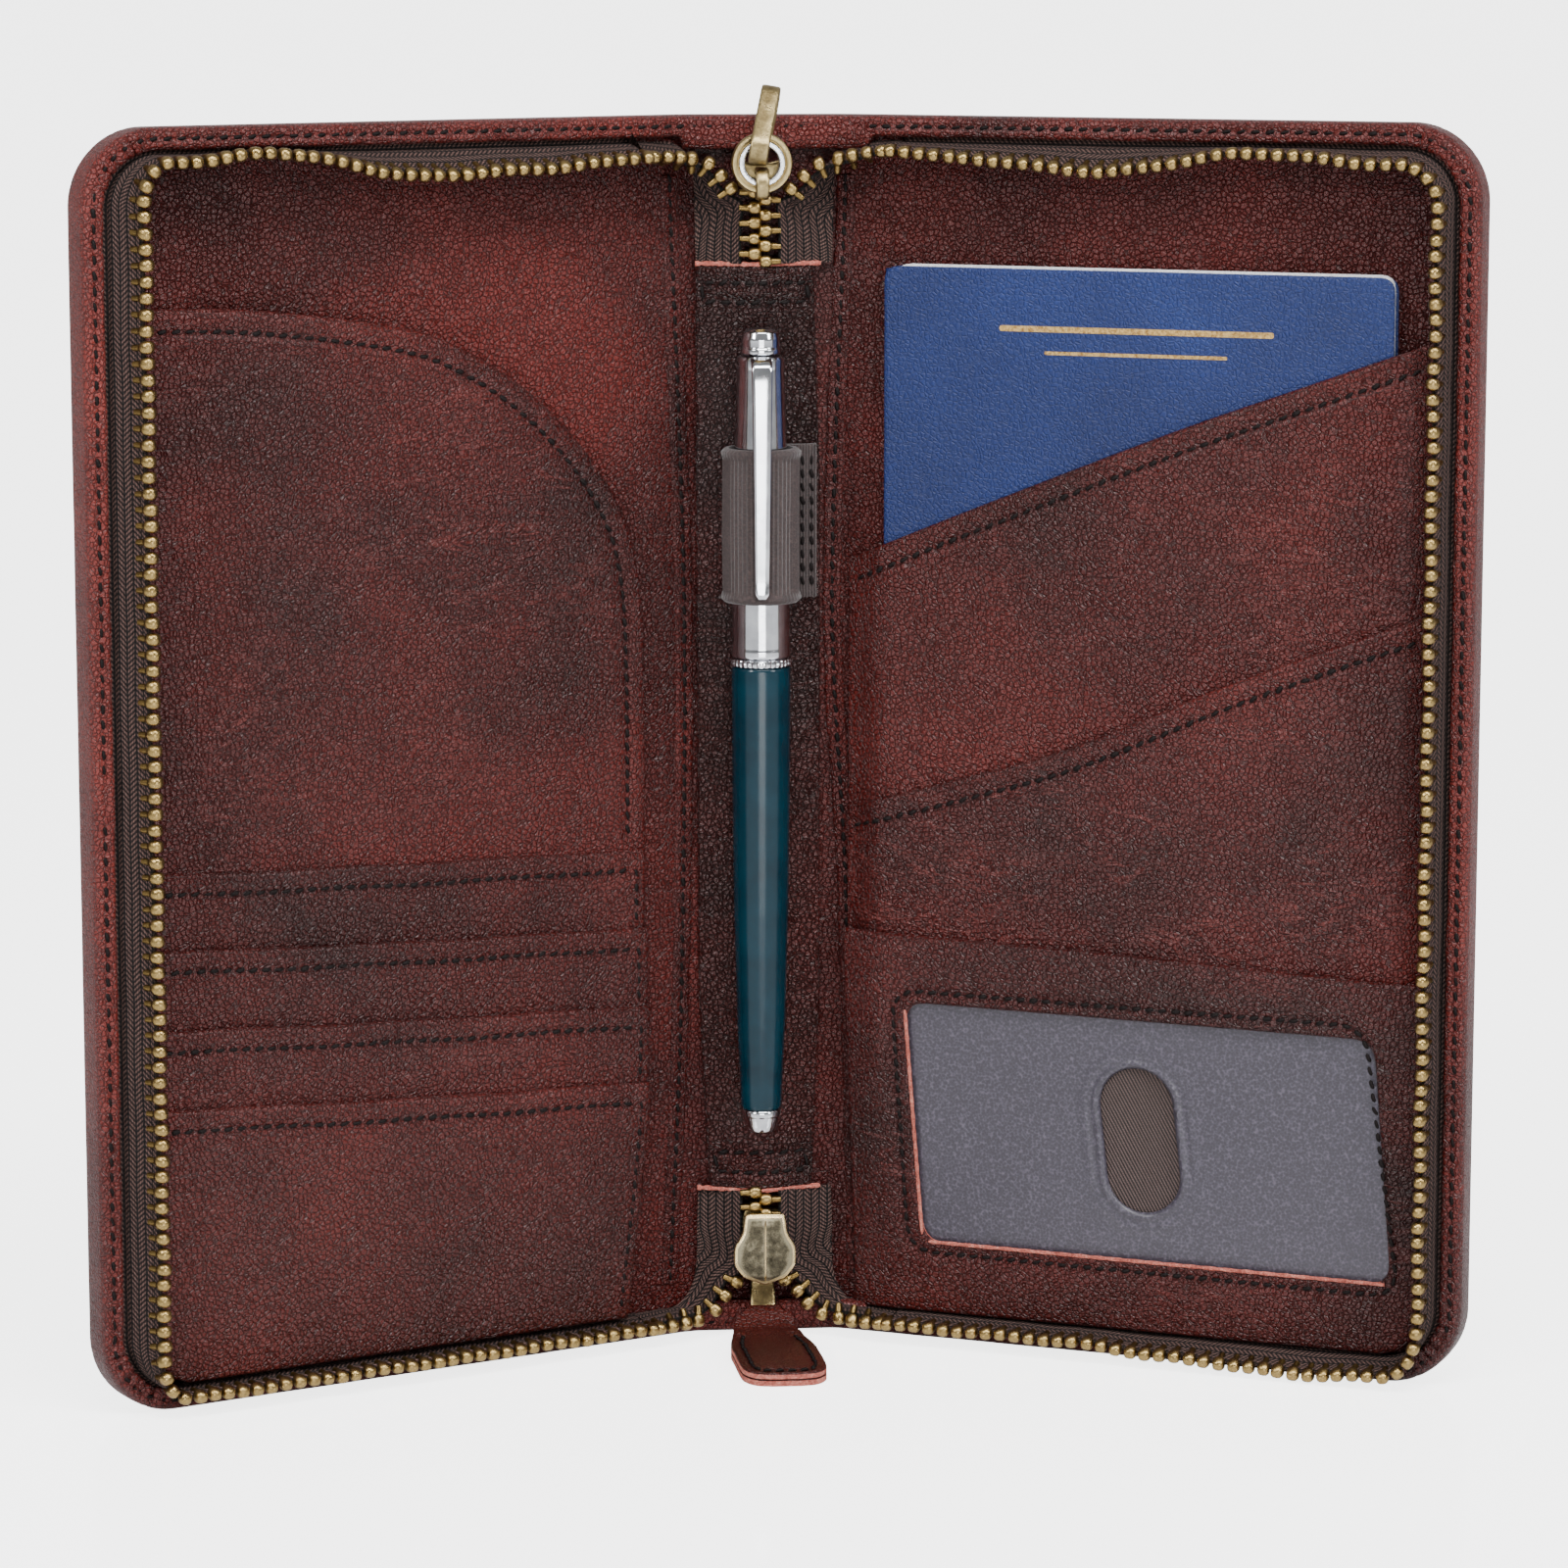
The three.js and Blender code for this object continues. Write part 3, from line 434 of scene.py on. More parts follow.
def gold():
    m = bpy.data.materials.new("gold_foil")
    n = N(m)
    f = n.noise(n.obj(), 1800, 3.0, 0.7)
    n.bsdf(Base_Color=n.ramp(f, [(0.35, srgb(150, 112, 60)), (0.6, srgb(222, 186, 120))]), Metallic=0.85, Roughness=0.38, Normal=n.bump(f, 0.4, 0.0002))
    return m


MAT["gold"] = gold()


def paper():
    m = bpy.data.materials.new("page_edges")
    n = N(m)
    leaf = n.noise(n.obj(scale=(1, 14, 1)), 900, 2.0, 0.6)
    n.bsdf(Base_Color=n.ramp(leaf, [(0.35, srgb(196, 196, 200)), (0.6, srgb(238, 238, 240))]), Roughness=0.85, Normal=n.bump(leaf, 0.5, 0.0002))
    return m


MAT["paper"] = paper()


def film():
    m = bpy.data.materials.new("frosted_film")
    n = N(m)
    v = n.obj()
    f = n.noise(v, 1700, 3.0, 0.75)
    g = n.voronoi(v, 2100, "F1")
    sp = n.math("ADD", n.math("MULTIPLY", f, 0.6), n.math("MULTIPLY", g, 0.5))
    big = n.noise(v, 16, 2.0)
    col = n.ramp(sp, [(0.38, srgb(38, 34, 43)), (0.58, srgb(50, 46, 57)), (0.82, srgb(84, 79, 92))])
    col = n.mix(n.math("MULTIPLY", big, 0.25), col, srgb(92, 88, 98))
    b = n.bsdf(Base_Color=col, Roughness=0.42, Normal=n.bump(sp, 0.35, 0.00025))
    b.inputs["Coat Weight"].default_value = 0.2
    b.inputs["Coat Roughness"].default_value = 0.25
    return m


MAT["film"] = film()


def twill():
    m = bpy.data.materials.new("twill_cloth")
    n = N(m)
    uv = n("UVMap", uv_map="weave")
    sep = n("SeparateXYZ")
    n.t.links.new(uv.outputs[0], sep.inputs[0])
    ph = n.math("DIVIDE", n.math("ADD", sep.outputs[0], n.math("MULTIPLY", sep.outputs[1], 0.55)), 0.62)
    d = n.math("ABSOLUTE", n.math("SINE", n.math("MULTIPLY", ph, math.pi)))
    w = n.math("ABSOLUTE", n.math("SINE", n.math("MULTIPLY", n.math("DIVIDE", sep.outputs[1], 0.3), math.pi)))
    h = n.math("ADD", n.math("MULTIPLY", d, 0.8), n.math("MULTIPLY", w, 0.25))
    col = n.ramp(h, [(0.2, srgb(10, 7, 6)), (0.6, srgb(38, 27, 25)), (0.95, srgb(86, 68, 64))])
    n.bsdf(Base_Color=col, Roughness=0.75, Normal=n.bump(h, 0.8, 0.00025))
    return m


MAT["twill"] = twill()


def board():
    m = bpy.data.materials.new("stiffening_board")
    n = N(m)
    f = n.noise(n.obj(), 800, 4.0, 0.7)
    n.bsdf(Base_Color=n.ramp(f, [(0.35, srgb(104, 90, 72)), (0.65, srgb(140, 124, 100))]), Roughness=0.9, Normal=n.bump(f, 0.5, 0.0003))
    return m


MAT["board"] = board()


# ------------------------------------------------------------------ mesh tools
def make(name, verts, faces, mats, fmat=None, sharp=40, uv=None, fix=True):
    me = bpy.data.meshes.new(name)
    me.from_pydata([tuple(v) for v in verts], [], [tuple(f) for f in faces])
    for m in mats:
        me.materials.append(MAT[m] if isinstance(m, str) else m)
    if fmat is not None:
        me.polygons.foreach_set("material_index", np.asarray(fmat, np.int32))
    if uv is not None:
        lay = me.uv_layers.new(name="weave")
        idx = np.empty(len(me.loops), np.int32)
        me.loops.foreach_get("vertex_index", idx)
        lay.data.foreach_set("uv", np.asarray(uv, np.float32)[idx].ravel())
    me.update()
    if fix:
        bm = bmesh.new()
        bm.from_mesh(me)
        bmesh.ops.recalc_face_normals(bm, faces=bm.faces)
        bm.to_mesh(me)
        bm.free()
    me.shade_smooth()
    if sharp:
        me.set_sharp_from_angle(angle=math.radians(sharp))
    o = bpy.data.objects.new(name, me)
    bpy.context.scene.collection.objects.link(o)
    return o


def resample(pts, step, closed=False):
    pts = np.asarray(pts, float)
    if closed:
        pts = np.vstack([pts, pts[:1]])
    seg = np.linalg.norm(np.diff(pts, axis=0), axis=1)
    acc = np.concatenate([[0], np.cumsum(seg)])
    if closed:  # keep the corners
        out = []
        for i in range(len(pts) - 1):
            k = max(1, int(math.ceil(seg[i] / step)))
            for j in range(k):
                out.append(pts[i] + (pts[i + 1] - pts[i]) * j / k)
        return np.array(out)
    n = max(1, int(round(acc[-1] / step)))
    t = np.linspace(0, acc[-1], n + 1)
    return np.stack([np.interp(t, acc, pts[:, k]) for k in range(pts.shape[1])], 1)


def spline(pts, n=12):
    """Catmull-Rom through points"""
    p = np.asarray(pts, float)
    p = np.vstack([2 * p[0] - p[1], p, 2 * p[-1] - p[-2]])
    out = []
    for i in range(1, len(p) - 2):
        for k in range(n):
            t = k / n
            a, b, c, d = p[i - 1], p[i], p[i + 1], p[i + 2]
            out.append(0.5 * ((2 * b) + (-a + c) * t + (2 * a - 5 * b + 4 * c - d) * t * t + (-a + 3 * b - 3 * c + d) * t ** 3))
    out.append(p[-2])
    return np.array(out)


def seg_dist(q, poly, closed):
    """distance from points q to a polyline"""
    a = np.asarray(poly, float)
    b = np.roll(a, -1, 0) if closed else a[1:]
    a = a if closed else a[:-1]
    best = np.full(len(q), 1e9)
    for i in range(0, len(a), 64):
        A, Bb = a[i:i + 64], b[i:i + 64]
        ab = Bb - A
        t = np.einsum("ijk,jk->ij", q[:, None, :] - A[None], ab) / np.maximum(np.einsum("jk,jk->j", ab, ab), 1e-12)
        t = np.clip(t, 0, 1)
        pr = A[None] + t[..., None] * ab[None]
        best = np.minimum(best, np.linalg.norm(q[:, None, :] - pr, axis=2).min(1))
    return best


def inside(q, poly):
    x, y = q[:, 0], q[:, 1]
    a = np.asarray(poly, float)
    b = np.roll(a, -1, 0)
    c = np.zeros(len(q), bool)
    for (x0, y0), (x1, y1) in zip(a, b):
        if y0 == y1:
            continue
        hit = ((y0 > y) != (y1 > y)) & (x < (x1 - x0) * (y - y0) / (y1 - y0) + x0)
        c ^= hit
    return c


def offset(path, dist, closed=False):
    p = np.asarray(path, float)
    if closed:
        t = np.roll(p, -1, 0) - np.roll(p, 1, 0)
    else:
        t = np.gradient(p, axis=0)
    t /= np.maximum(np.linalg.norm(t, axis=1, keepdims=True), 1e-9)
    return p + np.stack([-t[:, 1], t[:, 0]], 1) * dist


def panel(name, side, outer, dback, dfront, mats, lines=(), holes=(), spacing=2.6, edge=0.55, groove=0.22, bump=(0.25, 0.03), seed=1.0, hole_mat=0,
          edge_mats=None, taper=None, mapper=None, puff=0.0, uv=False, edge_depth=1.0):
    """A leather sheet: outline in (u, z), its front surface at dfront(u, z), rolled at the edges and pulled in along its stitches."""
    outer = resample(outer, 1.3, True)
    hs = [resample(h, 1.0, True) for h in holes]
    loops = [outer] + hs
    pts = [outer] + hs
    edges = []
    base = 0
    for l in loops:
        k = len(l)
        edges += [(base + i, base + (i + 1) % k) for i in range(k)]
        base += k
    nb = base
    extra = []
    for l in loops:
        for dd in (0.28, 0.75, 1.5):
            for sgn in (1, -1):
                extra.append((offset(l, sgn * dd, True), dd * 0.9))
    cand = []
    for e, mind in extra:
        ok = inside(e, outer)
        for h in hs:
            ok &= ~inside(e, h)
        e = e[ok]
        if not len(e):
            continue
        dist = np.min([seg_dist(e, l, True) for l in loops], 0)
        cand.append(e[dist > mind])
    lres = [resample(l, 1.25) for l in lines]
    for l in lres:
        for dd in (-1.7, -0.8, 0, 0.8, 1.7):
            e = offset(l, dd)
            ok = inside(e, outer)
            for h in hs:
                ok &= ~inside(e, h)
            e = e[ok]
            if len(e):
                dist = np.min([seg_dist(e, b, True) for b in loops], 0)
                cand.append(e[dist > 0.3])
    lo, hi = outer.min(0), outer.max(0)
    gx, gz = np.meshgrid(np.arange(lo[0] + spacing / 2, hi[0], spacing), np.arange(lo[1] + spacing / 2, hi[1], spacing))
    g = np.stack([gx.ravel() + (np.round(gz.ravel() / spacing) % 2) * spacing / 2, gz.ravel()], 1)
    ok = inside(g, outer)
    for h in hs:
        ok &= ~inside(g, h)
    g = g[ok]
    dist = np.min([seg_dist(g, l, True) for l in loops], 0)
    g = g[dist > 2.1]
    for l in lres:
        if len(g):
            g = g[seg_dist(g, l, False) > 2.3]
    allp = np.vstack(pts + cand + [g])
    # drop near duplicates, keeping the boundary
    keep = list(range(nb))
    cell = {}
    for i, p in enumerate(allp):
        key = (int(p[0] / 0.45), int(p[1] / 0.45))
        if i < nb:
            cell.setdefault(key, []).append(i)
            continue
        near = False
        for dx in (-1, 0, 1):
            for dz in (-1, 0, 1):
                for j in cell.get((key[0] + dx, key[1] + dz), ()):
                    if (allp[j][0] - p[0]) ** 2 + (allp[j][1] - p[1]) ** 2 < 0.05:
                        near = True
        if not near:
            cell.setdefault(key, []).append(i)
            keep.append(i)
    allp = allp[keep]
    vo, _, fo, ov, _, _ = delaunay_2d_cdt([Vector(p) for p in allp], edges, [], 0, 1e-6, True)
    V = np.array([tuple(v) for v in vo])
    F = np.array([f for f in fo if len(f) == 3])
    c = V[F].mean(1)
    ok = inside(c, outer)
    for h in hs:
        ok &= ~inside(c, h)
    F = F[ok]
    used = np.unique(F)
    remap = -np.ones(len(V), int)
    remap[used] = np.arange(len(used))
    V, F = V[used], remap[F]
    eb = np.min([seg_dist(V, l, True) for l in loops], 0)
    u, z = V[:, 0], V[:, 1]
    db = dback(u, z) if callable(dback) else np.full(len(V), float(dback))
    df = dfront(u, z) if callable(dfront) else np.full(len(V), float(dfront))
    t = np.clip(1 - eb / edge, 0, 1)
    th = df - db
    df = df - np.minimum(edge * edge_depth, th * 0.62) * (1 - np.sqrt(np.maximum(0, 1 - t * t)))
    inner = smooth(0.0, 6.0, eb)
    if bump[0]:
        q = np.stack([u, z, np.full(len(u), seed * 10)], 1)
        df = df + bump[0] * (pnoise(q, bump[1], seed) ) * inner
    if puff:
        df = df + puff * smooth(0.4, 2.6, eb) * (1 - smooth(3.0, 14, eb) * 0.5)
    for l in lres:
        ds = seg_dist(V, l, False)
        df = df - groove * 1.25 * np.exp(-(ds / 0.8) ** 2) * (eb > 0.2) + groove * 0.3 * np.exp(-((ds - 1.7) / 0.8) ** 2) * (eb > 0.6)
    df = np.maximum(df, db + 0.08)
    if taper is not None:
        k = taper(u, z)
        df, db = df * k, db * k
    mp = mapper or P
    top = mp(side, u, df, z)
    bot = mp(side, u, db, z)
    n = len(V)
    # the boundary, from triangle edges used once
    cnt = {}
    for f in F:
        for a, b in ((f[0], f[1]), (f[1], f[2]), (f[2], f[0])):
            k = (min(a, b), max(a, b))
            cnt.setdefault(k, []).append((a, b))
    faces = [tuple(f) for f in F] + [tuple(f[::-1] + n) for f in F]
    fm = [0] * len(F) + [0] * len(F)
    hl = [seg_dist(V, h, True) < 1e-3 for h in hs]
    for k, es in cnt.items():
        if len(es) == 1:
            a, b = es[0]
            faces.append((b, a, a + n, b + n))
            mid = (V[a] + V[b]) / 2
            m = 0
            if any(x[a] and x[b] for x in hl):
                m = hole_mat
            elif edge_mats is not None:
                m = edge_mats(mid[0], mid[1])
            fm.append(m)
    uvs = None
    if uv:
        uvs = np.vstack([V, V])
    return make(name, np.vstack([top, bot]), faces, mats, fm, 50, uvs)


def stitches(name, paths, width=0.62, pitch=2.45, fill=0.74, height=0.26, slant=0.2):
    width *= 1.3
    """paths: list of (points in metres, outward normals). One thread segment between each pair of holes."""
    vs, fs = [], []
    ring, seg = 6, 6
    for pts, nrm in paths:
        pts, nrm = np.asarray(pts), np.asarray(nrm)
        L = np.concatenate([[0], np.cumsum(np.linalg.norm(np.diff(pts, axis=0), axis=1))])
        n = max(1, int(round(L[-1] * 1000 / pitch)))
        step = L[-1] / n
        for i in range(n):
            c0 = (i + 0.5) * step
            ln = step * fill
            ctr = np.array([np.interp(c0, L, pts[:, k]) for k in range(3)])
            a = np.array([np.interp(max(0, c0 - ln / 2), L, pts[:, k]) for k in range(3)])
            b = np.array([np.interp(min(L[-1], c0 + ln / 2), L, pts[:, k]) for k in range(3)])
            nn = np.array([np.interp(c0, L, nrm[:, k]) for k in range(3)])
            nn /= np.linalg.norm(nn)
            t = b - a
            t /= max(np.linalg.norm(t), 1e-9)
            sd = np.cross(nn, t)
            sl = slant * (1 + 0.5 * rng.standard_normal())
            t2 = t * math.cos(sl) + sd * math.sin(sl)
            sd = np.cross(nn, t2)
            w = width / 2000 * (1 + 0.12 * rng.standard_normal())
            base = len(vs)
            for j in range(seg + 1):
                f = j / seg
                x = (f - 0.5) * ln
                r = math.sqrt(max(0.0, 1 - (2 * f - 1) ** 4)) * 0.92 + 0.08
                lift = height / 1000 * (1 - (2 * f - 1) ** 2) - 0.00012
                for k in range(ring):
                    an = k / ring * 2 * math.pi
                    vs.append(ctr + t2 * x + sd * math.cos(an) * w * r + nn * (lift + math.sin(an) * w * 0.62 * r))
            for j in range(seg):
                for k in range(ring):
                    p, q = base + j * ring + k, base + j * ring + (k + 1) % ring
                    fs.append((p, q, q + ring, p + ring))
            fs.append(tuple(base + k for k in range(ring))[::-1])
            fs.append(tuple(base + seg * ring + k for k in range(ring)))
    return make(name, vs, fs, ["thread"], None, None, fix=False)


def line_on(side, path, dfun, taper=None, mapper=None, lift=0.0):
    """a stitch path on a surface at dfun(u, z): points and normals in metres"""
    p = resample(path, 0.8)
    u, z = p[:, 0], p[:, 1]
    d = (dfun(u, z) if callable(dfun) else np.full(len(u), float(dfun))) + lift
    if taper is not None:
        d = d * taper(u, z)
    mp = mapper or P
    a, b = mp(side, u, d, z), mp(side, u, d + 1, z)
    nn = b - a
    nn /= np.linalg.norm(nn, axis=1, keepdims=True)
    return a, nn


def rings(name, R3, mats, closed_ring=True, caps=True, fm=None, sharp=40, uv=None, loop=False):
    """a sweep: rings of points (n_rings, n_pts, 3) in metres"""
    R3 = np.asarray(R3)
    n, k = R3.shape[:2]
    fs, fmat = [], []
    for i in range(n if loop else n - 1):
        for j in range(k if closed_ring else k - 1):
            a, b = i * k + j, i * k + (j + 1) % k
            c = ((i + 1) % n) * k
            fs.append((a, b, c + (j + 1) % k, c + j))
            fmat.append(fm(i, j) if fm else 0)
    if caps and closed_ring and not loop:
        fs.append(tuple(range(k))[::-1]); fmat.append(0)
        fs.append(tuple((n - 1) * k + j for j in range(k))); fmat.append(0)
    return make(name, R3.reshape(-1, 3), fs, mats, fmat, sharp, uv)


def lathe(name, prof, x, d, mat, seg=72, sharp=35, z_axis=True):
    """profile of (radius, z) turned about a vertical axis at spine position (x, d); starts and ends on the axis"""
    prof = np.asarray(prof, float)
    vs, fs = [], []
    rows = []
    for r, z in prof:
        if r < 1e-6:
            rows.append([len(vs)])
            vs.append(Q(x, d, z))
        else:
            row = []
            for k in range(seg):
                a = k / seg * 2 * math.pi
                row.append(len(vs))
                vs.append(Q(x + r * math.cos(a), d - r * math.sin(a), z))
            rows.append(row)
    for a, b in zip(rows[:-1], rows[1:]):
        if len(a) == 1 and len(b) == 1:
            continue
        if len(a) == 1:
            fs += [(a[0], b[(k + 1) % seg], b[k]) for k in range(seg)]
        elif len(b) == 1:
            fs += [(a[k], a[(k + 1) % seg], b[0]) for k in range(seg)]
        else:
            fs += [(a[k], a[(k + 1) % seg], b[(k + 1) % seg], b[k]) for k in range(seg)]
    return make(name, vs, fs, [mat], None, sharp)


def fine_profile(pts, r=0.25, n=4):
    """rounds a profile's inner corners"""
    p = [np.array(q, float) for q in pts]
    out = [p[0]]
    for a, b, c in zip(p[:-2], p[1:-1], p[2:]):
        la, lc = np.linalg.norm(a - b), np.linalg.norm(c - b)
        k = min(r, la * 0.45, lc * 0.45)
        s, e = b + (a - b) / max(la, 1e-9) * k, b + (c - b) / max(lc, 1e-9) * k
        for i in range(n + 1):
            t = i / n
            out.append((1 - t) ** 2 * s + 2 * t * (1 - t) * b + t * t * e)
    out.append(p[-1])
    return out


def ride(o, body, slot=None, *nodes):
    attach(o, body)
    if nodes:
        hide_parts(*nodes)
    return o


def bend(o, side, slot=None, *nodes):
    """bakes o's transform into its mesh and hides the given model nodes; o is not attached to the spine or the cover"""
    tuple(M(side, S / 2 - BW, 0, 100))
    tuple(M(side, S / 2 + BW, 0, 100))
    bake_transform(o)
    if nodes:
        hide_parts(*nodes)
    return o


WORD = {-1: "left", 1: "right"}
BODY = {-1: "cover_left", 1: "cover_right"}
def shell(name, F3, B3, mats, sharp=50, uv=None, flip=False):
    """closed sheet from a front and a back grid of points, both (n, m, 3)"""
    F3, B3 = np.asarray(F3), np.asarray(B3)
    n, m = F3.shape[:2]
    N_ = n * m
    fs = []
    for i in range(n - 1):
        for j in range(m - 1):
            a = i * m + j
            fs.append((a, a + 1, a + m + 1, a + m))
            fs.append((a + N_, a + m + N_, a + m + 1 + N_, a + 1 + N_))
    loop = [i * m for i in range(n)] + [(n - 1) * m + j for j in range(1, m)] + [i * m + m - 1 for i in range(n - 2, -1, -1)] + [j for j in range(m - 2, 0, -1)]
    for a, b in zip(loop, loop[1:] + loop[:1]):
        fs.append((a, a + N_, b + N_, b))
    uvs = None
    if uv is not None:
        uvs = np.vstack([uv.reshape(-1, 2), uv.reshape(-1, 2)])
    return make(name, np.vstack([F3.reshape(-1, 3), B3.reshape(-1, 3)]), fs, mats, None, sharp, uvs)


def zlim(u, inset):
    """lowest and highest z of the cover's outline, drawn in by inset, at u"""
    r = R - inset
    uc = W - R
    e = np.clip(np.asarray(u, float) - uc, 0, r)
    lo = inset + r - np.sqrt(np.maximum(0, r * r - e * e))
    return lo, H - lo


def cover_sheet(name, side, s0, u1, inset, df, db, mat, amp, seed):
    uu = np.concatenate([np.arange(s0, 10, 2.0), np.arange(10, 17, 0.4), np.arange(17, S / 2 + u1 - 13, 2.6), S / 2 + u1 - 13 + 13 * np.sin(np.linspace(0, 1, 18) * math.pi / 2)])
    uu = np.unique(np.round(uu, 4))
    m = 80
    v = np.linspace(0, 1, m)
    F3 = np.empty((len(uu), m, 3)); Bk = np.empty((len(uu), m, 3))
    for i, s in enumerate(uu):
        lo, hi = zlim(s - S / 2, inset)
        z = lo + (hi - lo) * v
        q = np.stack([np.full(m, side * s), z, np.full(m, seed)], 1)
        w = amp * pnoise(q, 0.028, seed, 3) + amp * 0.35 * pnoise(q, 0.11, seed + 3, 2)
        # the leather gathers in short creases where it bends
        cr = math.exp(-((s - S / 2) / 2.6) ** 2)
        w = w * (1 - 0.5 * cr) + cr * 0.16 * np.sin(z * 0.9 + 2.1 * np.sin(z * 0.23 + seed))
        F3[i] = M(side, s, df + (w if df > db else 0) if amp > 0 else df, z)
        Bk[i] = M(side, s, db + (-w if amp < 0 else 0), z)
    return shell(name, F3, Bk, [mat])


for sd in (-1, 1):
    w = WORD[sd]
    lin = cover_sheet("lining_" + w + "_skin", sd, 8.0, W - 1.2, 1.2, 0.02, -1.0, "lining", 0.16, 2.0 + sd)
    bend(lin, sd, "lining_leather", "lining_" + w)
    out = cover_sheet("outer_" + w + "_skin", sd, 0.0, W - 1.2, 1.2, -3.1, -4.0, "outer", -0.16, 5.0)
    bend(out, sd, "outer_leather", "cover_leather_" + w)
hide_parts("spine_leather")

xs = np.linspace(-8.0, 8.0, 9); zs = np.linspace(1.2, H - 1.2, 60)
gx, gz = np.meshgrid(xs, zs, indexing="ij")
o = shell("spine_lining_skin", Q(gx, 0.02, gz), Q(gx, -1.0, gz), ["lining"])
ride(o, "spine", "lining_leather", "spine_lining")


# ------------------------------------------------------------------ edge binding
def edge_path(u_start_s, inset=0.0, step=0.9, arc=0.5):
    """round one cover from the spine along the top, down the outer side and back along the bottom: (s, z, ns, nz, turn)"""
    r = R - inset
    se = S / 2 + W - inset
    pts = []
    for s in np.arange(u_start_s, se - r, step):
        pts.append((s, H - inset, 0, -1, 0.0))
    n = int(r * math.pi / 2 / arc)
    for k in range(n + 1):
        a = k / n * math.pi / 2
        pts.append((se - r + r * math.sin(a), H - inset - r + r * math.cos(a), -math.sin(a), -math.cos(a), math.sin(2 * a)))
    for z in np.arange(H - inset - r - step, inset + r, -step):
        pts.append((se, z, -1, 0, 0.0))
    for k in range(n + 1):
        a = k / n * math.pi / 2
        pts.append((se - r + r * math.cos(a), inset + r - r * math.sin(a), -math.cos(a), math.sin(a), math.sin(2 * a)))
    for s in np.arange(se - r - step, u_start_s, -step):
        pts.append((s, inset, 0, 1, 0.0))
    pts.append((u_start_s, inset, 0, 1, 0.0))
    return np.array(pts)


PROF = [(3.62, 1.25), (3.66, 1.75), (3.45, 2.12), (3.0, 2.3), (2.45, 2.24), (2.05, 2.02), (1.65, 2.0), (1.2, 2.12), (0.72, 2.0), (0.3, 1.55), (0.05, 0.9), (0.0, -0.6), (0.0, -2.4), (0.05, -3.9), (0.35, -4.7), (0.9, -5.12),
        (1.7, -5.28), (3.0, -5.3), (4.0, -5.22), (4.45, -5.02), (4.9, -5.2), (5.5, -5.26), (5.9, -5.1), (6.02, -4.75), (6.0, -4.34), (1.1, -4.25), (1.05, 1.15)]
JOINTS = {-1: 15.1, 1: 19.3}
for sd in (-1, 1):
    ep = edge_path(0.0)
    acc = np.concatenate([[0], np.cumsum(np.hypot(*np.diff(ep[:, :2], axis=0).T))])
    rr = []
    ntot = len(ep)
    for i, (s, z, ns, nz, tn) in enumerate(ep):
        L = acc[i]
        q = [(s * sd, z, 1.5)]
        wob = float(pnoise(q, 0.09, 4.0)[0]); wob2 = float(pnoise(q, 0.35, 9.0)[0])
        # pleats gathered round the corners
        ph = L * 2 * math.pi / 2.35 + 1.3 * math.sin(L * 0.8)
        pl = (abs(math.sin(ph / 2)) ** 0.6 - 0.55) * min(1.0, tn * 1.7)
        lap = 0.0
        if s < JOINTS[sd]:
            lap = 0.3
        if sd < 0 and abs(z - 103.8) < 4.2 and ns == -1:
            lap = 0.34
        pro = []
        for n_, d_ in PROF:
            front = d_ > 0.2
            outer = n_ < 1.4
            nn_, dd_ = n_, d_
            if front:
                lift = 0.10 * wob + 0.07 * wob2 + lap * (1 if d_ > 1.4 else 0)
                f = max(0.0, 1 - abs(n_ - 2.3) / 2.4)
                dd_ += lift + pl * (0.75 * f + 0.2)
                if n_ > 2.2:
                    nn_ += 2.0 * min(1.0, (n_ - 2.2) / 1.2) * (1 - float(smooth(JOINTS[sd] - 0.5, JOINTS[sd] + 0.3, s)))
                if n_ > 3:
                    nn_ += 0.16 * wob2 + 0.35 * pl
                if n_ < 0.8:
                    nn_ += 0.16 * max(0, -pl)
            elif d_ < -4.4:
                f = max(0.0, 1 - abs(n_ - 3) / 3.4)
                dd_ -= 0.08 * wob + 0.2 * pl * f
                if n_ > 5.5:
                    nn_ += 0.2 * wob2
            if outer and not front and n_ < 0.4:
                nn_ += 0.12 * max(0, -pl)
            pro.append((s + ns * nn_, dd_, z + nz * nn_))
        pro = np.array(pro)
        rr.append(M(sd, pro[:, 0], pro[:, 1], pro[:, 2]))
    o = rings("binding_" + WORD[sd] + "_skin", rr, ["binding"], sharp=60)
    extra = ["binding_" + WORD[sd]] + (["spine_binding_top", "spine_binding_bottom"] if sd < 0 else [])
    bend(o, sd, "binding_leather", *extra)
    for nm, dep, nrm_d, inset in (("front", 2.0, 1, 1.86), ("back", -5.02, -1, 4.42)):
        ip = edge_path(0.0 if sd > 0 else 0.6, inset)
        a = M(sd, ip[:, 0], dep + 0.06 * nrm_d, ip[:, 1]); b = M(sd, ip[:, 0], dep + nrm_d * 1.0, ip[:, 1])
        nn_ = (b - a) / np.linalg.norm(b - a, axis=1, keepdims=True)
        st = stitches("stitch_binding_%s_%s" % (WORD[sd], nm), [(a, nn_)], width=0.5, pitch=2.5, fill=0.7, height=0.2)
        bend(st, sd, "binding_leather")

# ------------------------------------------------------------------ zip: tape and teeth of each cover
ZI = BIND


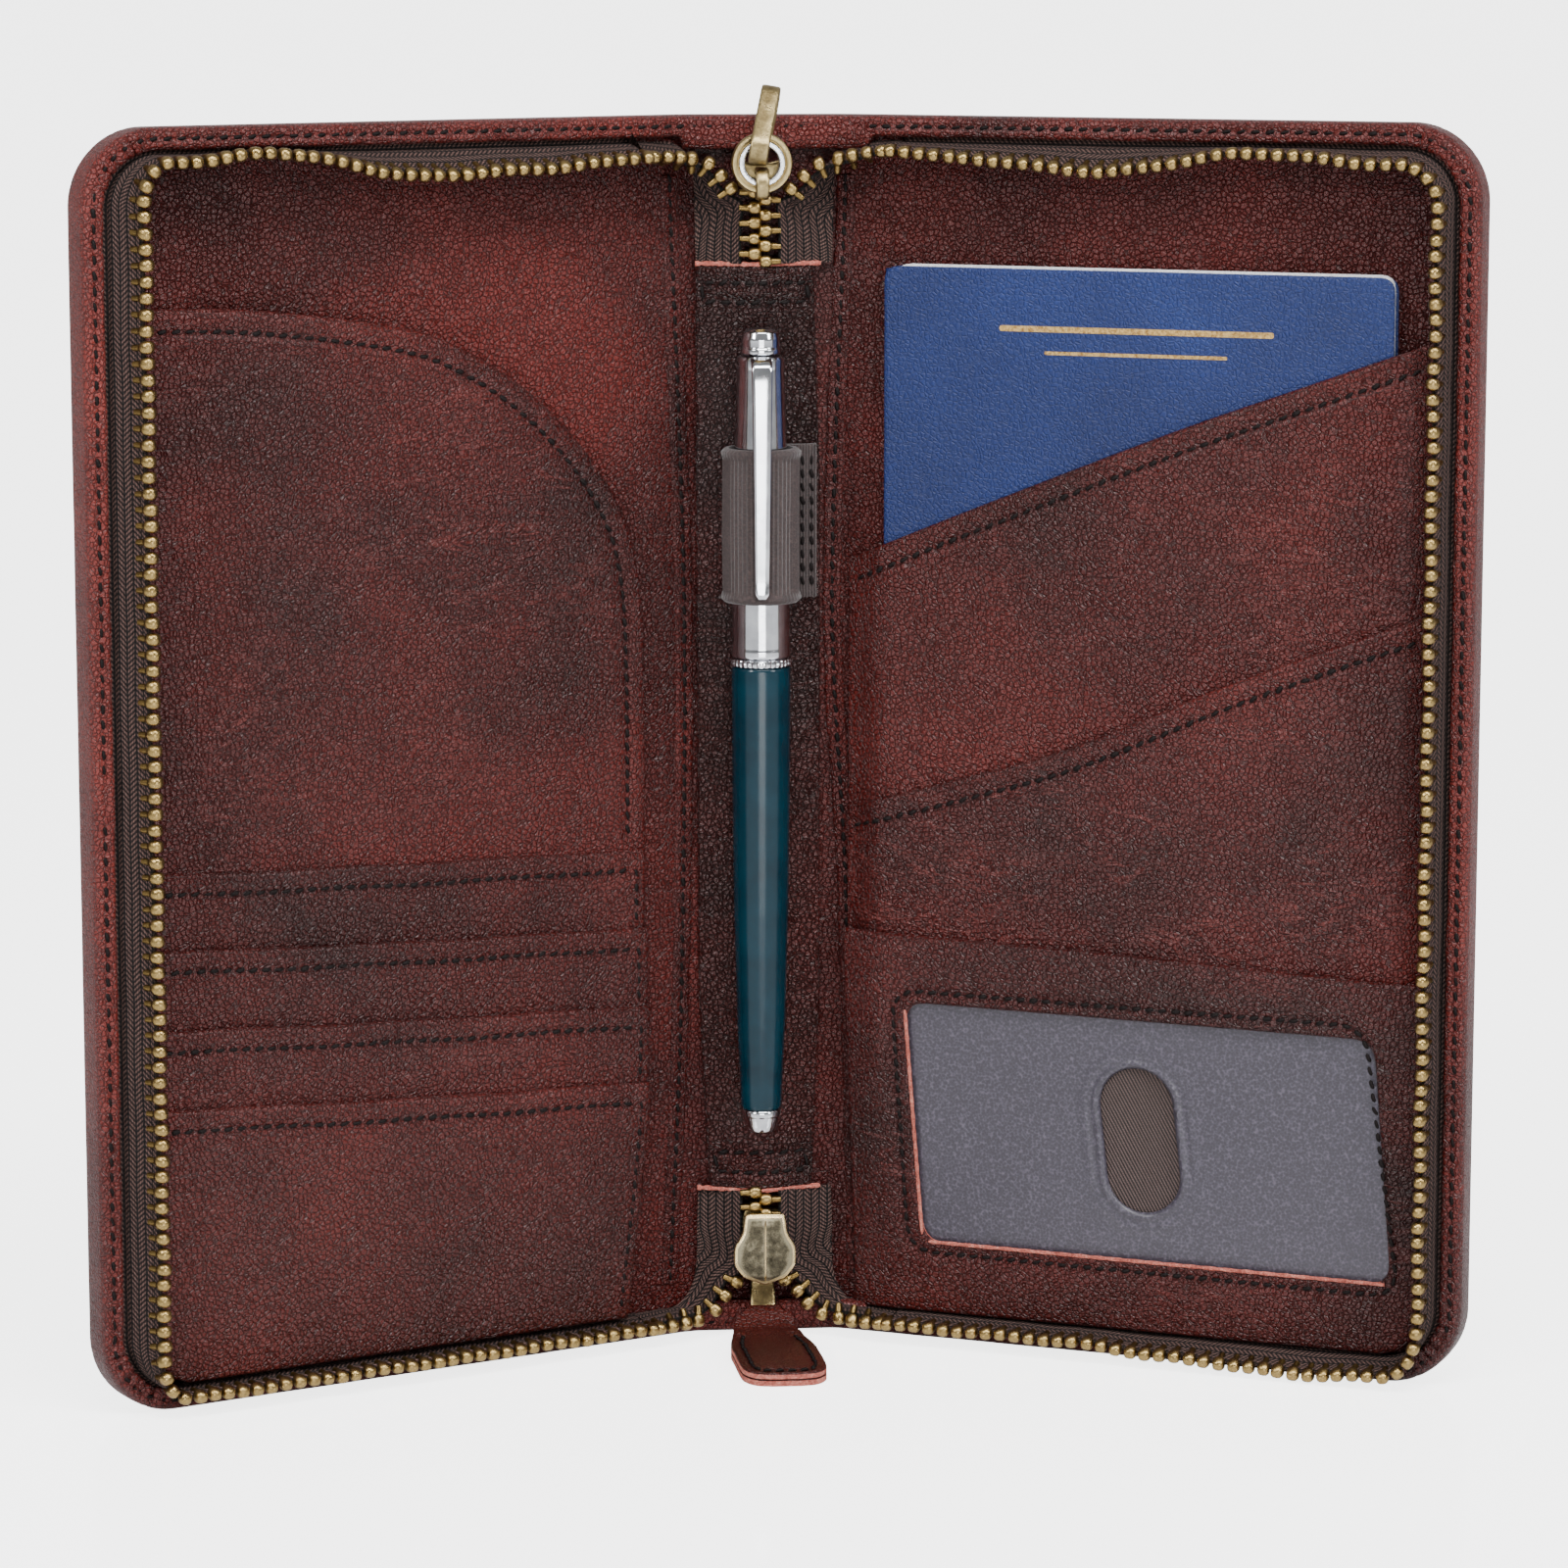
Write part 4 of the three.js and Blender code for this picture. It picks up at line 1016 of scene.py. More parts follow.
def zpath(step=0.65):
    """line of the tape's root round a cover: (u, z, nu, nz, region, t)"""
    top, bot, side_u, r = H - ZI, ZI, W - ZI, 9.4
    uc = side_u - r
    pts = []
    n = int((uc - 12) / step)
    for k in range(n):
        pts.append((12 + (uc - 12) * k / n, top, 0, -1, 0, 0.0))
    m = int(r * math.pi / 2 / step)
    for k in range(m):
        a = k / m * math.pi / 2
        pts.append((uc + r * math.sin(a), top - r + r * math.cos(a), -math.sin(a), -math.cos(a), 1, k / m))
    n2 = int((top - bot - 2 * r) / step)
    for k in range(n2):
        pts.append((side_u, top - r - (top - bot - 2 * r) * k / n2, -1, 0, 2, 0.0))
    for k in range(m):
        a = k / m * math.pi / 2
        pts.append((uc + r * math.cos(a), bot + r - r * math.sin(a), -math.cos(a), math.sin(a), 3, k / m))
    for k in range(n + 1):
        pts.append((uc - (uc - 12) * k / n, bot, 0, 1, 4, 0.0))
    return np.array(pts)


LEAN = {-1: dict(top=[[12, .25], [31, .43], [53, .52], [82, -.05], [99, .1]], side=.5, low=[[12, -.15], [99, -.15]]),
        1: dict(top=[[12, .12], [26, .28], [48, .5], [76, .05], [99, .25]], side=.16, low=[[12, -.15], [45, -.15], [62, -.28], [86, -.4], [99, -.3]])}


def ilean(tab, u):
    for (a, va), (b, vb) in zip(tab[:-1], tab[1:]):
        if u <= b:
            t = min(1, max(0, (u - a) / (b - a)))
            return va + (vb - va) * t * t * (3 - 2 * t)
    return tab[-1][1]


def lean_at(sd, row):
    u, z, nu, nz, reg, t = row
    L = LEAN[sd]
    reg = int(reg)
    if reg == 0:
        return ilean(L["top"], u)
    if reg == 4:
        return ilean(L["low"], u)
    if reg == 2:
        return L["side"]
    e = t * t * (3 - 2 * t)
    a, b = (L["top"][-1][1], L["side"]) if reg == 1 else (L["side"], L["low"][-1][1])
    return a + (b - a) * e


def tooth_mesh(frames, scale=1.0, head=True):
    """one clamped tooth per frame: (origin on the tape's edge, l toward the head, a along the tape, m across the tape), metres"""
    prof = [(-1.5, .2, .5), (-1.4, .5, .72), (-0.9, .55, .8), (-0.1, .6, .84), (0.15, .66, .88), (0.3, .86, 1.0), (0.6, 1.02, 1.1), (1.0, 1.08, 1.12), (1.5, 1.06, 1.08), (1.95, .96, .94), (2.25, .66, .6), (2.35, .2, .2)]
    ring = 12
    vs, fs = [], []
    for o_, l, a, m in frames:
        j1, j2 = rng.normal(0, 0.06, 2)
        l = l + a * j1 * 0.6; l = l / np.linalg.norm(l)
        sc = scale * (1 + rng.normal(0, 0.015))
        base = len(vs)
        for t, wa, wm in prof:
            for k in range(ring):
                an = k / ring * 2 * math.pi
                c, s = math.cos(an), math.sin(an)
                e = 0.72
                cx = math.copysign(abs(c) ** e, c); sx = math.copysign(abs(s) ** e, s)
                vs.append(o_ + (l * t + a * (wa * cx) + m * (wm * sx)) * sc / 1000)
        for j in range(len(prof) - 1):
            for k in range(ring):
                p, q = base + j * ring + k, base + j * ring + (k + 1) % ring
                fs.append((p, q, q + ring, p + ring))
        fs.append(tuple(base + k for k in range(ring))[::-1])
        fs.append(tuple(base + (len(prof) - 1) * ring + k for k in range(ring)))
    return vs, fs


def tooth_mats(count):
    one = [1] * (5 * 12) + [0] * (6 * 12) + [1, 0]
    return one * count


TAPE = 6.5
for sd in (-1, 1):
    zp = zpath()
    root = []; lv = []; nv = []
    R3 = []; UV = []
    acc = 0.0
    prev = None
    for row in zp:
        u, z, nu, nz = row[:4]
        a = lean_at(sd, row)
        h = 0.02 * math.sin(u * 0.4 + z * 0.31)
        a = a + h
        b = math.sqrt(max(0, 1 - a * a))
        if prev is not None:
            acc += math.hypot(u - prev[0], z - prev[1])
        prev = (u, z)
        wv = 0.22 * float(pnoise([(u * sd, z, 3)], 0.12, 2.0)[0])
        sec = [(-2.2, 0.35), (0.2, 0.35), (1.05, 0.62)]
        fpts, bpts, uvp = [], [], []
        for n_, d_ in sec:
            fpts.append((u + nu * n_, d_ + 0.3 if n_ < 1 else d_ + 0.25, z + nz * n_)); bpts.append((u + nu * n_, d_ - 0.25, z + nz * n_)); uvp.append((acc, n_ + 2.2))
        for k in range(1, 9):
            s = TAPE * k / 8
            cu = math.sin(s / TAPE * math.pi) * (0.35 + wv)
            n_ = 1.1 + a * s + b * cu * -0.6; d_ = 0.6 + b * s + a * cu * 0.6
            th = 0.27
            # front is the side that faces the inside of the case
            fpts.append((u + nu * (n_ + b * th), d_ - a * th, z + nz * (n_ + b * th))); bpts.append((u + nu * (n_ - b * th), d_ + a * th, z + nz * (n_ - b * th))); uvp.append((acc, 3.3 + s))
        ring = np.array(fpts + bpts[::-1])
        R3.append(P(sd, ring[:, 0], ring[:, 1], ring[:, 2]))
        UV.append(np.array(uvp + uvp[::-1]))
        o0 = P(sd, u + nu * (1.1 + a * TAPE), 0.6 + b * TAPE, z + nz * (1.1 + a * TAPE))
        o1 = P(sd, u + nu * (1.1 + a * (TAPE + 1)), 0.6 + b * (TAPE + 1), z + nz * (1.1 + a * (TAPE + 1)))
        root.append(o0); lv.append((o1 - o0) * 1000)
    o = rings("tape_" + WORD[sd], R3, ["tape"], uv=np.array(UV).reshape(-1, 2), sharp=50)
    ride(o, BODY[sd], "zip_tape", "zip_tape_" + WORD[sd])
    root = np.array(root); lv = np.array(lv)
    L = np.concatenate([[0], np.cumsum(np.linalg.norm(np.diff(root, axis=0), axis=1))]) * 1000
    nt_ = int(L[-1] / 2.6)
    fr = []
    for k in range(nt_ + 1):
        s = k * L[-1] / nt_
        c = np.array([np.interp(s, L, root[:, i]) for i in range(3)])
        l = np.array([np.interp(s, L, lv[:, i]) for i in range(3)]); l /= np.linalg.norm(l)
        c2 = np.array([np.interp(min(L[-1], s + 0.5), L, root[:, i]) for i in range(3)]); c1 = np.array([np.interp(max(0, s - 0.5), L, root[:, i]) for i in range(3)])
        t = c2 - c1; t /= np.linalg.norm(t)
        t = t - l * np.dot(t, l); t /= np.linalg.norm(t)
        fr.append((c, l, t, np.cross(l, t)))
    vs, fs = tooth_mesh(fr)
    o = make("teeth_" + WORD[sd], vs, fs, ["teeth", "teeth_legs"], tooth_mats(len(fr)), 50, fix=False)
    ride(o, BODY[sd], "zip_metal", "zip_teeth_" + WORD[sd])
    # the corded edge the teeth are clamped on
    cord = []
    for c, l, t, m in fr:
        cord.append([c + (l * (0.1 + 0.62 * math.cos(q)) + m * 0.62 * math.sin(q)) / 1000 for q in np.linspace(0, 2 * math.pi, 9)[:-1]])
    o = rings("tape_cord_" + WORD[sd], cord, ["tape"], uv=np.stack([np.repeat(np.arange(len(cord)) * 2.6, 8), np.tile(np.arange(8) * 0.45, len(cord))], 1))
    ride(o, BODY[sd], "zip_tape")

# ------------------------------------------------------------------ zip: across the folds to the sliders
for word, up in (("top", 1), ("bottom", -1)):
    for sd in (-1, 1):
        zc, z1 = (197.2, 205.6) if up > 0 else (12.2, 2.6)
        x0 = XC + sd * 2.4
        Apts, lpts, Bpts = [], [], []
        row = [12.0, H - ZI if up > 0 else ZI, 0, -up, 0 if up > 0 else 4, 0]
        a = lean_at(sd, row); b = math.sqrt(1 - a * a)
        # the end of the cover's own tape, as a point
        e0 = P(sd, 12.0, 0.6 + b * TAPE, row[1] - up * (1.1 + a * TAPE))
        el = P(sd, 12.0, 0.6 + b * (TAPE + 1), row[1] - up * (1.1 + a * (TAPE + 1))) - e0
        el = el / np.linalg.norm(el)
        ctl = []
        zend = 187.0 if up > 0 else 25.9
        ctl.append((Q(XC + sd * 3.3, 5, zend), np.array([-sd, 0, 0.0])))
        ctl.append((Q(XC + sd * 3.3, 5, zend + up * (6.5 if up > 0 else 3.6)), np.array([-sd, 0, 0.0])))
        if up < 0:
            ctl.append((Q(XC + sd * 3.3, 5, 18.0), np.array([-sd, 0, 0.0])))
        ctl.append((Q(XC + sd * 3.0, 5, zc), np.array([-sd, 0, 0.2 * up])))
        for k in (1, 2, 3, 4):
            t = k / 4
            x = x0 + (sd * 11.6 - x0) * t
            z = zc + (z1 - zc) * math.sin(t * math.pi / 2)
            tx, tz = (sd * 11.6 - x0), (z1 - zc) * math.cos(t * math.pi / 2) * math.pi / 2
            ln = math.hypot(tx, tz)
            # heads point to the mouth between the rows
            nx, nz = -tz / ln, tx / ln
            if nz * up < 0:
                nx, nz = -nx, -nz
            d = 5 + 1.2 * t
            l = np.array([nx, -0.25 * t, nz])
            p0 = Q(x - nx * 2.0, d, z - nz * 2.0)
            ctl.append((p0, l / np.linalg.norm(l)))
        ctl.append((e0 * 0.5 + ctl[-1][0] * 0.5, (ctl[-1][1] + el) / np.linalg.norm(ctl[-1][1] + el)))
        ctl.append((e0, el))
        A = spline([c[0] for c in ctl], 8)
        l_ = spline([c[1] for c in ctl], 8)
        l_ /= np.linalg.norm(l_, axis=1, keepdims=True)
        n = len(A)
        # hidden edge: from under the spine's strip out to under the binding's lip
        Bc = [Q(sd * 11.6, 1.3, zend), Q(sd * 11.8, 1.3, zend + up * 6), Q(sd * 12.2, 1.2, (H - 9) if up > 0 else 10), P(sd, 3.0, 0.9, (H - 5.0) if up > 0 else 5.0), P(sd, 8.0, 0.7, (H - 4.5) if up > 0 else 4.5), P(sd, 12.0, 0.65, (H - 4.4) if up > 0 else 4.4)]
        Bl = resample(spline(Bc, 10) * 1000, 0.2) / 1000
        Bi = np.stack([np.interp(np.linspace(0, 1, n), np.linspace(0, 1, len(Bl)), Bl[:, i]) for i in range(3)], 1)
        k = 11
        T = np.linspace(0, 1, k)[None, :, None]
        G = A[:, None, :] * (1 - T) + Bi[:, None, :] * T
        sag = np.sin(np.linspace(0, 1, k) * math.pi)[None, :] * 0.0009
        G[..., 1] += sag
        tu = np.gradient(G, axis=0); tv = np.gradient(G, axis=1)
        nn_ = np.cross(tu, tv); nn_ /= np.maximum(np.linalg.norm(nn_, axis=2, keepdims=True), 1e-12)
        dist = np.concatenate([[0], np.cumsum(np.linalg.norm(np.diff(A, axis=0), axis=1))]) * 1000
        wd = np.linalg.norm(A - Bi, axis=1) * 1000
        uv = np.stack([np.repeat(dist[:, None], k, 1), wd[:, None] * T[0, :, 0][None, :]], -1)
        o = shell("tape_bridge_%s_%s" % (word, WORD[sd]), G + nn_ * 0.00028, G - nn_ * 0.00028, ["tape"], uv=uv)
        bend(o, sd, "zip_tape", "zip_gusset_%s_%s" % (word, WORD[sd]))
        # teeth past the slider, out to the cover's own row
        start = dist[np.argmin(np.linalg.norm(A - ctl[3 if up < 0 else 2][0], axis=1))] + (2.2 if up > 0 else 1.6)
        cnt = int((dist[-1] - start) / 2.6)
        fr = []
        for j in range(cnt):
            s = start + (j + 0.5) * (dist[-1] - start) / cnt
            c = np.array([np.interp(s, dist, A[:, i]) for i in range(3)])
            l = np.array([np.interp(s, dist, l_[:, i]) for i in range(3)]); l /= np.linalg.norm(l)
            t = np.array([np.interp(s + 0.4, dist, A[:, i]) - np.interp(s - 0.4, dist, A[:, i]) for i in range(3)])
            t /= np.linalg.norm(t); t = t - l * np.dot(t, l); t /= np.linalg.norm(t)
            fr.append((c, l, t, np.cross(l, t)))
        vs, fs = tooth_mesh(fr)
        o = make("teeth_bridge_%s_%s" % (word, WORD[sd]), vs, fs, ["teeth", "teeth_legs"], tooth_mats(len(fr)), 50, fix=False)
        bend(o, sd, "zip_metal", "zip_row_%s_%s" % (word, WORD[sd]))
    # the closed chain between the strip's end and the slider
    za, zb = (187.4, 199.4) if up > 0 else (21.8, 25.8)
    fr = []
    n = int((zb - za) / 1.3) + 1
    for j in range(n):
        z = za + j * 1.3
        s_ = -1 if j % 2 else 1
        l = np.array([-s_, 0, 0.0]); t = np.array([0, 0, 1.0]); m = np.cross(l, t)
        fr.append((Q(XC + s_ * 2.1, 5.0, z), l, t, m))
    vs, fs = tooth_mesh(fr, 1.0)
    o = make("chain_" + word, vs, fs, ["teeth", "teeth_legs"], tooth_mats(len(fr)), 50, fix=False)
    ride(o, "spine", "zip_metal", "zip_chain_" + word)

# ------------------------------------------------------------------ left cover: document pocket and card slots
def stitched(name, sd, lines, dfun, slot, body=None, mapper=None, **kw):
    o = stitches(name, [line_on(sd, l, dfun, mapper=mapper) for l in lines], **kw)
    ride(o, body or BODY[sd], slot)
    return o


dtop = spline([(107, 183), (84, 182.2), (57.5, 178.5), (44.6, 174.4), (31.7, 166.5), (20.5, 155.7), (13, 144), (10, 132), (9.2, 115), (9.1, 92), (9.1, 70), (9.9, 43), (12, 27), (15, 5.6)], 8)
dpoly = np.vstack([dtop, [(98.5, 5.6), (101.9, 6.6), (104.4, 8.6), (106, 11.4), (106.8, 15)]])
ins = offset(dtop, 3.7)
if not inside(ins[10:11], dpoly)[0]:
    ins = offset(dtop, -3.7)
ins = ins[(ins[:, 1] > 88)]


def doc_front(u, z):
    # lifts away from the cover a little towards its curved mouth
    k = smooth(80, 178, z)
    return 1.15 + 0.9 * k * smooth(8, 30, u) * (1 - smooth(92, 107, u)) + 0.25 * smooth(0, 12, 107 - u)


def doc_back(u, z):
    return doc_front(u, z) - 0.85


o = panel("document_pocket", -1, dpoly, doc_back, doc_front, ["pocket", "raw"], lines=[ins], spacing=2.5, bump=(0.2, 0.035), seed=1.3, puff=0.18, groove=0.3, edge=0.6)
ride(o, "cover_left", "pocket_leather", "document_pocket_left")


def front_of(df, g=0.0):
    return lambda u, z: df(u, z) + g


stitched("stitch_document_pocket", -1, [ins], front_of(doc_front, 0.0), "pocket_leather", width=0.52, pitch=2.4, fill=0.72, height=0.2)

SL = [[106.2, 90.7, 9.6, 86.8, 40], [105.7, 78, 9.6, 73.2, 27], [105.1, 64.9, 9.8, 59.7, 14], [104.4, 51.8, 10.3, 46.5, 5.2]]


def redge(z):
    return np.interp(z, [5.2, 14, 27, 43, 60, 90], [15.0, 13.9, 12.1, 10.4, 9.8, 9.6])


for k, (uo, zo, ui, zi, zb) in enumerate(SL):
    base = 1.4 + k
    # the top edge dips a little in the middle, as the slots sag over the years
    tu = np.linspace(uo, ui, 30)
    tz = zo + (zi - zo) * (uo - tu) / (uo - ui) - 0.35 * np.sin((uo - tu) / (uo - ui) * math.pi) + 0.12 * np.sin(tu * 0.21 + k)
    top = np.stack([tu, tz], 1)
    zr = np.linspace(zi, zb, 14)[1:]
    right = np.stack([redge(zr) + (ui - redge(zi)) * (zr - zb) / (zi - zb), zr], 1)
    left = np.array([(uo - 1.8 * 0 - 6.0, zb), (uo - 3.2, zb + 1.0), (uo - 1.2, zb + 3.2), (uo, zb + 6.4)]) if k == 3 else np.array([(uo, zb)])
    if k == 2:
        left = np.array([(103.4, zb - 2), (105.1, zb + 3)])
    poly = np.vstack([top, right, left])
    below = SL[k + 1] if k < 3 else None
    line = offset(top, -3.5)
    if not inside(line[5:6], poly)[0]:
        line = offset(top, 3.5)
    line = line[(line[:, 0] > redge(line[:, 1]) + 2.3) & (line[:, 0] < uo - 1.0)]
    zlo = np.interp

    def dfr(u, z, base=base, zo=zo, zi=zi, uo=uo, ui=ui):
        zt = zo + (zi - zo) * (uo - u) / (uo - ui)
        mid = np.sin(np.clip((u - 9) / 96, 0, 1) * math.pi)
        return base + 0.72 + 0.22 * mid * np.exp(-((zt - z) / 7.0) ** 2)

    o = panel("card_slot_%d_leather" % (k + 1), -1, poly, base, dfr, ["slot", "raw"], lines=[line], spacing=2.6, bump=(0.12, 0.04), seed=2.0 + k, puff=0.1, groove=0.25, edge=0.6)
    ride(o, "cover_left", "pocket_leather", "card_slot_%d" % (k + 1))
    stitched("stitch_card_slot_%d" % (k + 1), -1, [line], dfr, "pocket_leather", width=0.52, pitch=2.35, fill=0.72, height=0.2)
    # the slots' inner ends are sewn down in one row
    z1_ = zi - 4.2
    z0_ = (SL[k + 1][3] + 0.8) if k < 3 else 7.0
    zz = np.linspace(z1_ + 1.4, z0_, 12)
    vl = np.stack([redge(zz) + 1.9, zz], 1)
    stitched("stitch_slot_end_%d" % (k + 1), -1, [vl], dfr, "pocket_leather", width=0.52, pitch=2.35, fill=0.72, height=0.2)


# ------------------------------------------------------------------ right cover: pockets and window
def edge_k(u, z, lo=0.42, a=2.4, b=106.4, w=7.4):
    return lo + (1 - lo) * smooth(0, w, np.minimum(u - a, b - u))


ptop = spline([(2.4, 136.2), (27, 146.5), (61, 160.2), (84, 168.6), (106.4, 176.7)], 10)
ppoly = np.vstack([ptop, [(106.4, 61), (2.4, 61)]])
pl_ = offset(ptop, -3.7)
if not inside(pl_[8:9], ppoly)[0]:
    pl_ = offset(ptop, 3.7)
pl_ = pl_[(pl_[:, 0] > 3.2) & (pl_[:, 0] < 105.6)]


def pf(u, z):
    return (4.3 + 0.25 * np.sin(np.clip((u - 5) / 100, 0, 1) * math.pi)) * 1.0


o = panel("passport_pocket_leather", 1, ppoly, lambda u, z: np.full(np.shape(u), 3.58), pf, ["pocket", "raw"], lines=[pl_], spacing=2.5, bump=(0.16, 0.035), seed=3.3, puff=0.1, groove=0.3, edge=0.6, taper=edge_k)
ride(o, "cover_right", "pocket_leather", "passport_pocket")


def tapered(df):
    return lambda u, z: df(u, z) * edge_k(u, z)


stitched("stitch_passport_pocket", 1, [pl_], tapered(pf), "pocket_leather", width=0.52, pitch=2.4, fill=0.72, height=0.2)

stop_ = spline([(2.4, 93.4), (23, 99.4), (44, 106.2), (70, 117.6), (88, 124.8), (106.2, 131.6)], 9)
spoly = np.vstack([stop_, [(106.2, 61), (2.4, 61)]])
sl_ = offset(stop_, -3.6)
if not inside(sl_[8:9], spoly)[0]:
    sl_ = offset(stop_, 3.6)
sl_ = sl_[(sl_[:, 0] > 3.2) & (sl_[:, 0] < 105.4)]


def sf(u, z):
    return 5.25 + 0.35 * np.sin(np.clip((u - 5) / 100, 0, 1) * math.pi)


o = panel("slant_pocket_leather", 1, spoly, lambda u, z: np.full(np.shape(u), 4.72), sf, ["pocket2", "raw"], lines=[sl_], spacing=2.5, bump=(0.2, 0.035), seed=4.1, puff=0.12, groove=0.3, edge=0.6, taper=edge_k)
ride(o, "cover_right", "pocket_leather", "slant_pocket")
stitched("stitch_slant_pocket", 1, [sl_], tapered(sf), "pocket_leather", width=0.52, pitch=2.4, fill=0.72, height=0.2)


def idk(u, z):
    return 0.7 + 0.3 * smooth(0, 9, np.minimum(u - 2.0, 106.6 - u))


def idl(z):
    return 0.061 * (z - 7)


def idf(u, z):
    return 2.95 + idl(z) + 0.12 * np.sin(np.clip((u - 2) / 104, 0, 1) * math.pi)


def rounded(pts, r, n=5):
    p = [np.array(q, float) for q in pts]
    out = []
    for i in range(len(p)):
        a, b, c = p[i - 1], p[i], p[(i + 1) % len(p)]
        k = min(r, np.linalg.norm(a - b) * 0.45, np.linalg.norm(c - b) * 0.45)
        s, e = b + (a - b) / np.linalg.norm(a - b) * k, b + (c - b) / np.linalg.norm(c - b) * k
        for j in range(n + 1):
            t = j / n
            out.append((1 - t) ** 2 * s + 2 * t * (1 - t) * b + t * t * e)
    return np.array(out)


ipoly = np.array([(2.4, 72.4), (23, 72.1), (44.4, 71.6), (75, 70.6), (106, 69.2), (106, 11.5), (104.6, 8), (102, 5.9), (99, 5), (4, 5)])
hole = rounded([(14.2, 60.3), (97.7, 59.6), (100.5, 17.2), (17.1, 17.6)], 4.0)
wl = rounded([(12.06, 62.4), (96.2, 62.0), (101.9, 15.4), (14.4, 15.9)], 5.0)
wl = np.vstack([wl, wl[:1]])
itl = np.array([(4.5, 68.9), (23, 68.6), (44.4, 68.1), (75, 67.1), (104.4, 65.8)])
o = panel("window_pocket_leather", 1, ipoly, lambda u, z: 2.2 + idl(z), idf, ["pocket", "raw"], lines=[wl], holes=[hole], spacing=2.5, bump=(0.12, 0.04), seed=5.1, puff=0.12, groove=0.28, edge=0.5, taper=idk, hole_mat=1)
ride(o, "cover_right", "pocket_leather", "id_pocket")


def idft(u, z):
    return idf(u, z) * idk(u, z)


stitched("stitch_window_pocket", 1, [wl], idft, "pocket_leather", width=0.52, pitch=2.3, fill=0.72, height=0.2)
# the pale cut edge of the window
for nm, seg in (("left", [(16.9, 18.4), (14.4, 59.0)]), ("low", [(17.6, 17.7), (99.6, 17.3)])):
    p = resample(seg, 1.0)
    rr = []
    for (u, z) in p:
        dd = idft(np.array([u]), np.array([z]))[0]
        q = np.linspace(0, 2 * math.pi, 9)[:-1]
        jit = 0.05 * math.sin(u * 1.9 + z * 2.3)
        if nm == "left":
            rr.append(P(1, u + (0.34 + jit) * np.cos(q), dd - 0.22 + 0.3 * np.sin(q), z))
        else:
            rr.append(P(1, u, dd - 0.22 + 0.3 * np.sin(q), z + (0.34 + jit) * np.cos(q)))
    o = rings("window_raw_edge_" + nm, rr, ["raw"])
    ride(o, "cover_right", "pocket_leather")

# frosted film with its thumb slot
ca, cb, rr_ = np.array((55.7, 44.9)), np.array((56.9, 32.5)), 6.5


def stadium(r, n=16):
    d = (cb - ca) / np.linalg.norm(cb - ca)
    s = np.array((-d[1], d[0]))
    out = []
    for k in range(n + 1):
        a = k / n * math.pi
        out.append(ca + r * (s * math.cos(a) - d * math.sin(a)))
    for k in range(n + 1):
        a = k / n * math.pi
        out.append(cb + r * (-s * math.cos(a) + d * math.sin(a)))
    return np.array(out)


thumb = stadium(6.5)


def filmf(u, z):
    e = seg_dist(np.stack([u, z], 1), np.array([ca, cb]), False)
    ring1 = 0.42 * np.exp(-((e - 7.35) / 0.5) ** 2)
    ring2 = 0.3 * np.exp(-((e - 9.3) / 0.42) ** 2)
    return 1.85 + idl(z) + ring1 + ring2


fpoly = rounded([(12, 60.9), (101.5, 60.9), (101.5, 14), (14.5, 14)], 1.5, 3)
o = panel("window_film", 1, fpoly, lambda u, z: 1.45 + idl(z), filmf, ["film"], holes=[thumb], lines=[np.vstack([stadium(7.35), stadium(7.35)[:1]]), np.vstack([stadium(9.3), stadium(9.3)[:1]])], spacing=2.8, bump=(0.05, 0.03), seed=6.0, groove=0.0, edge=0.3, taper=idk)
ride(o, "cover_right", "id_film", "id_window")

# twill behind the film
uu = np.linspace(12.2, 101.3, 46); zz = np.linspace(9.2, 60.4, 28)
gu, gz = np.meshgrid(uu, zz, indexing="ij")
wv = 0.06 * np.sin(gu * 0.5) * np.sin(gz * 0.41)
kk = idk(gu, gz)
Fp = P(1, gu, (1.25 + idl(gz) + wv) * kk, gz); Bp = P(1, gu, (0.95 + idl(gz) + wv) * kk, gz)
o = shell("window_backing_cloth", Fp, Bp, ["twill"], uv=np.stack([gu, gz], -1))
ride(o, "cover_right", "id_twill", "id_backing")

# right-hand seam of the booklet pocket: a narrow welt with its stitch row
for sd, pts in ((-1, [(3.4, 200), (3.4, 196), (0.9, 130), (1.6, 62), (4.1, 9)]), (1, [(1.0, 200), (1.0, 196), (-1.2, 129), (1.4, 79), (3.4, 9)])):
    c = spline(pts, 14)
    c = resample(c, 1.0)
    prof = [(-1.7, 0.0), (-1.55, 0.34), (-1.1, 0.5), (-0.45, 0.42), (0.0, 0.34), (0.45, 0.42), (1.1, 0.52), (1.55, 0.36), (1.7, 0.0)]
    rr = []
    for i, (u, z) in enumerate(c):
        wob = 0.08 * math.sin(z * 0.33) + 0.05 * math.sin(z * 1.1)
        pp = np.array([(u + a + wob, d) for a, d in prof])
        rr.append(M(sd, pp[:, 0] + S / 2, pp[:, 1], z))
    o = rings("seam_welt_" + WORD[sd], rr, ["pocket"], sharp=60)
    bend(o, sd, "lining_leather")
    a = M(sd, c[:, 0] + S / 2, 0.38, c[:, 1]); b = M(sd, c[:, 0] + S / 2, 1.38, c[:, 1])
    st = stitches("stitch_seam_" + WORD[sd], [(a, (b - a) * 1000)], width=0.52, pitch=2.5, fill=0.72, height=0.2)
    bend(st, sd, "lining_leather")

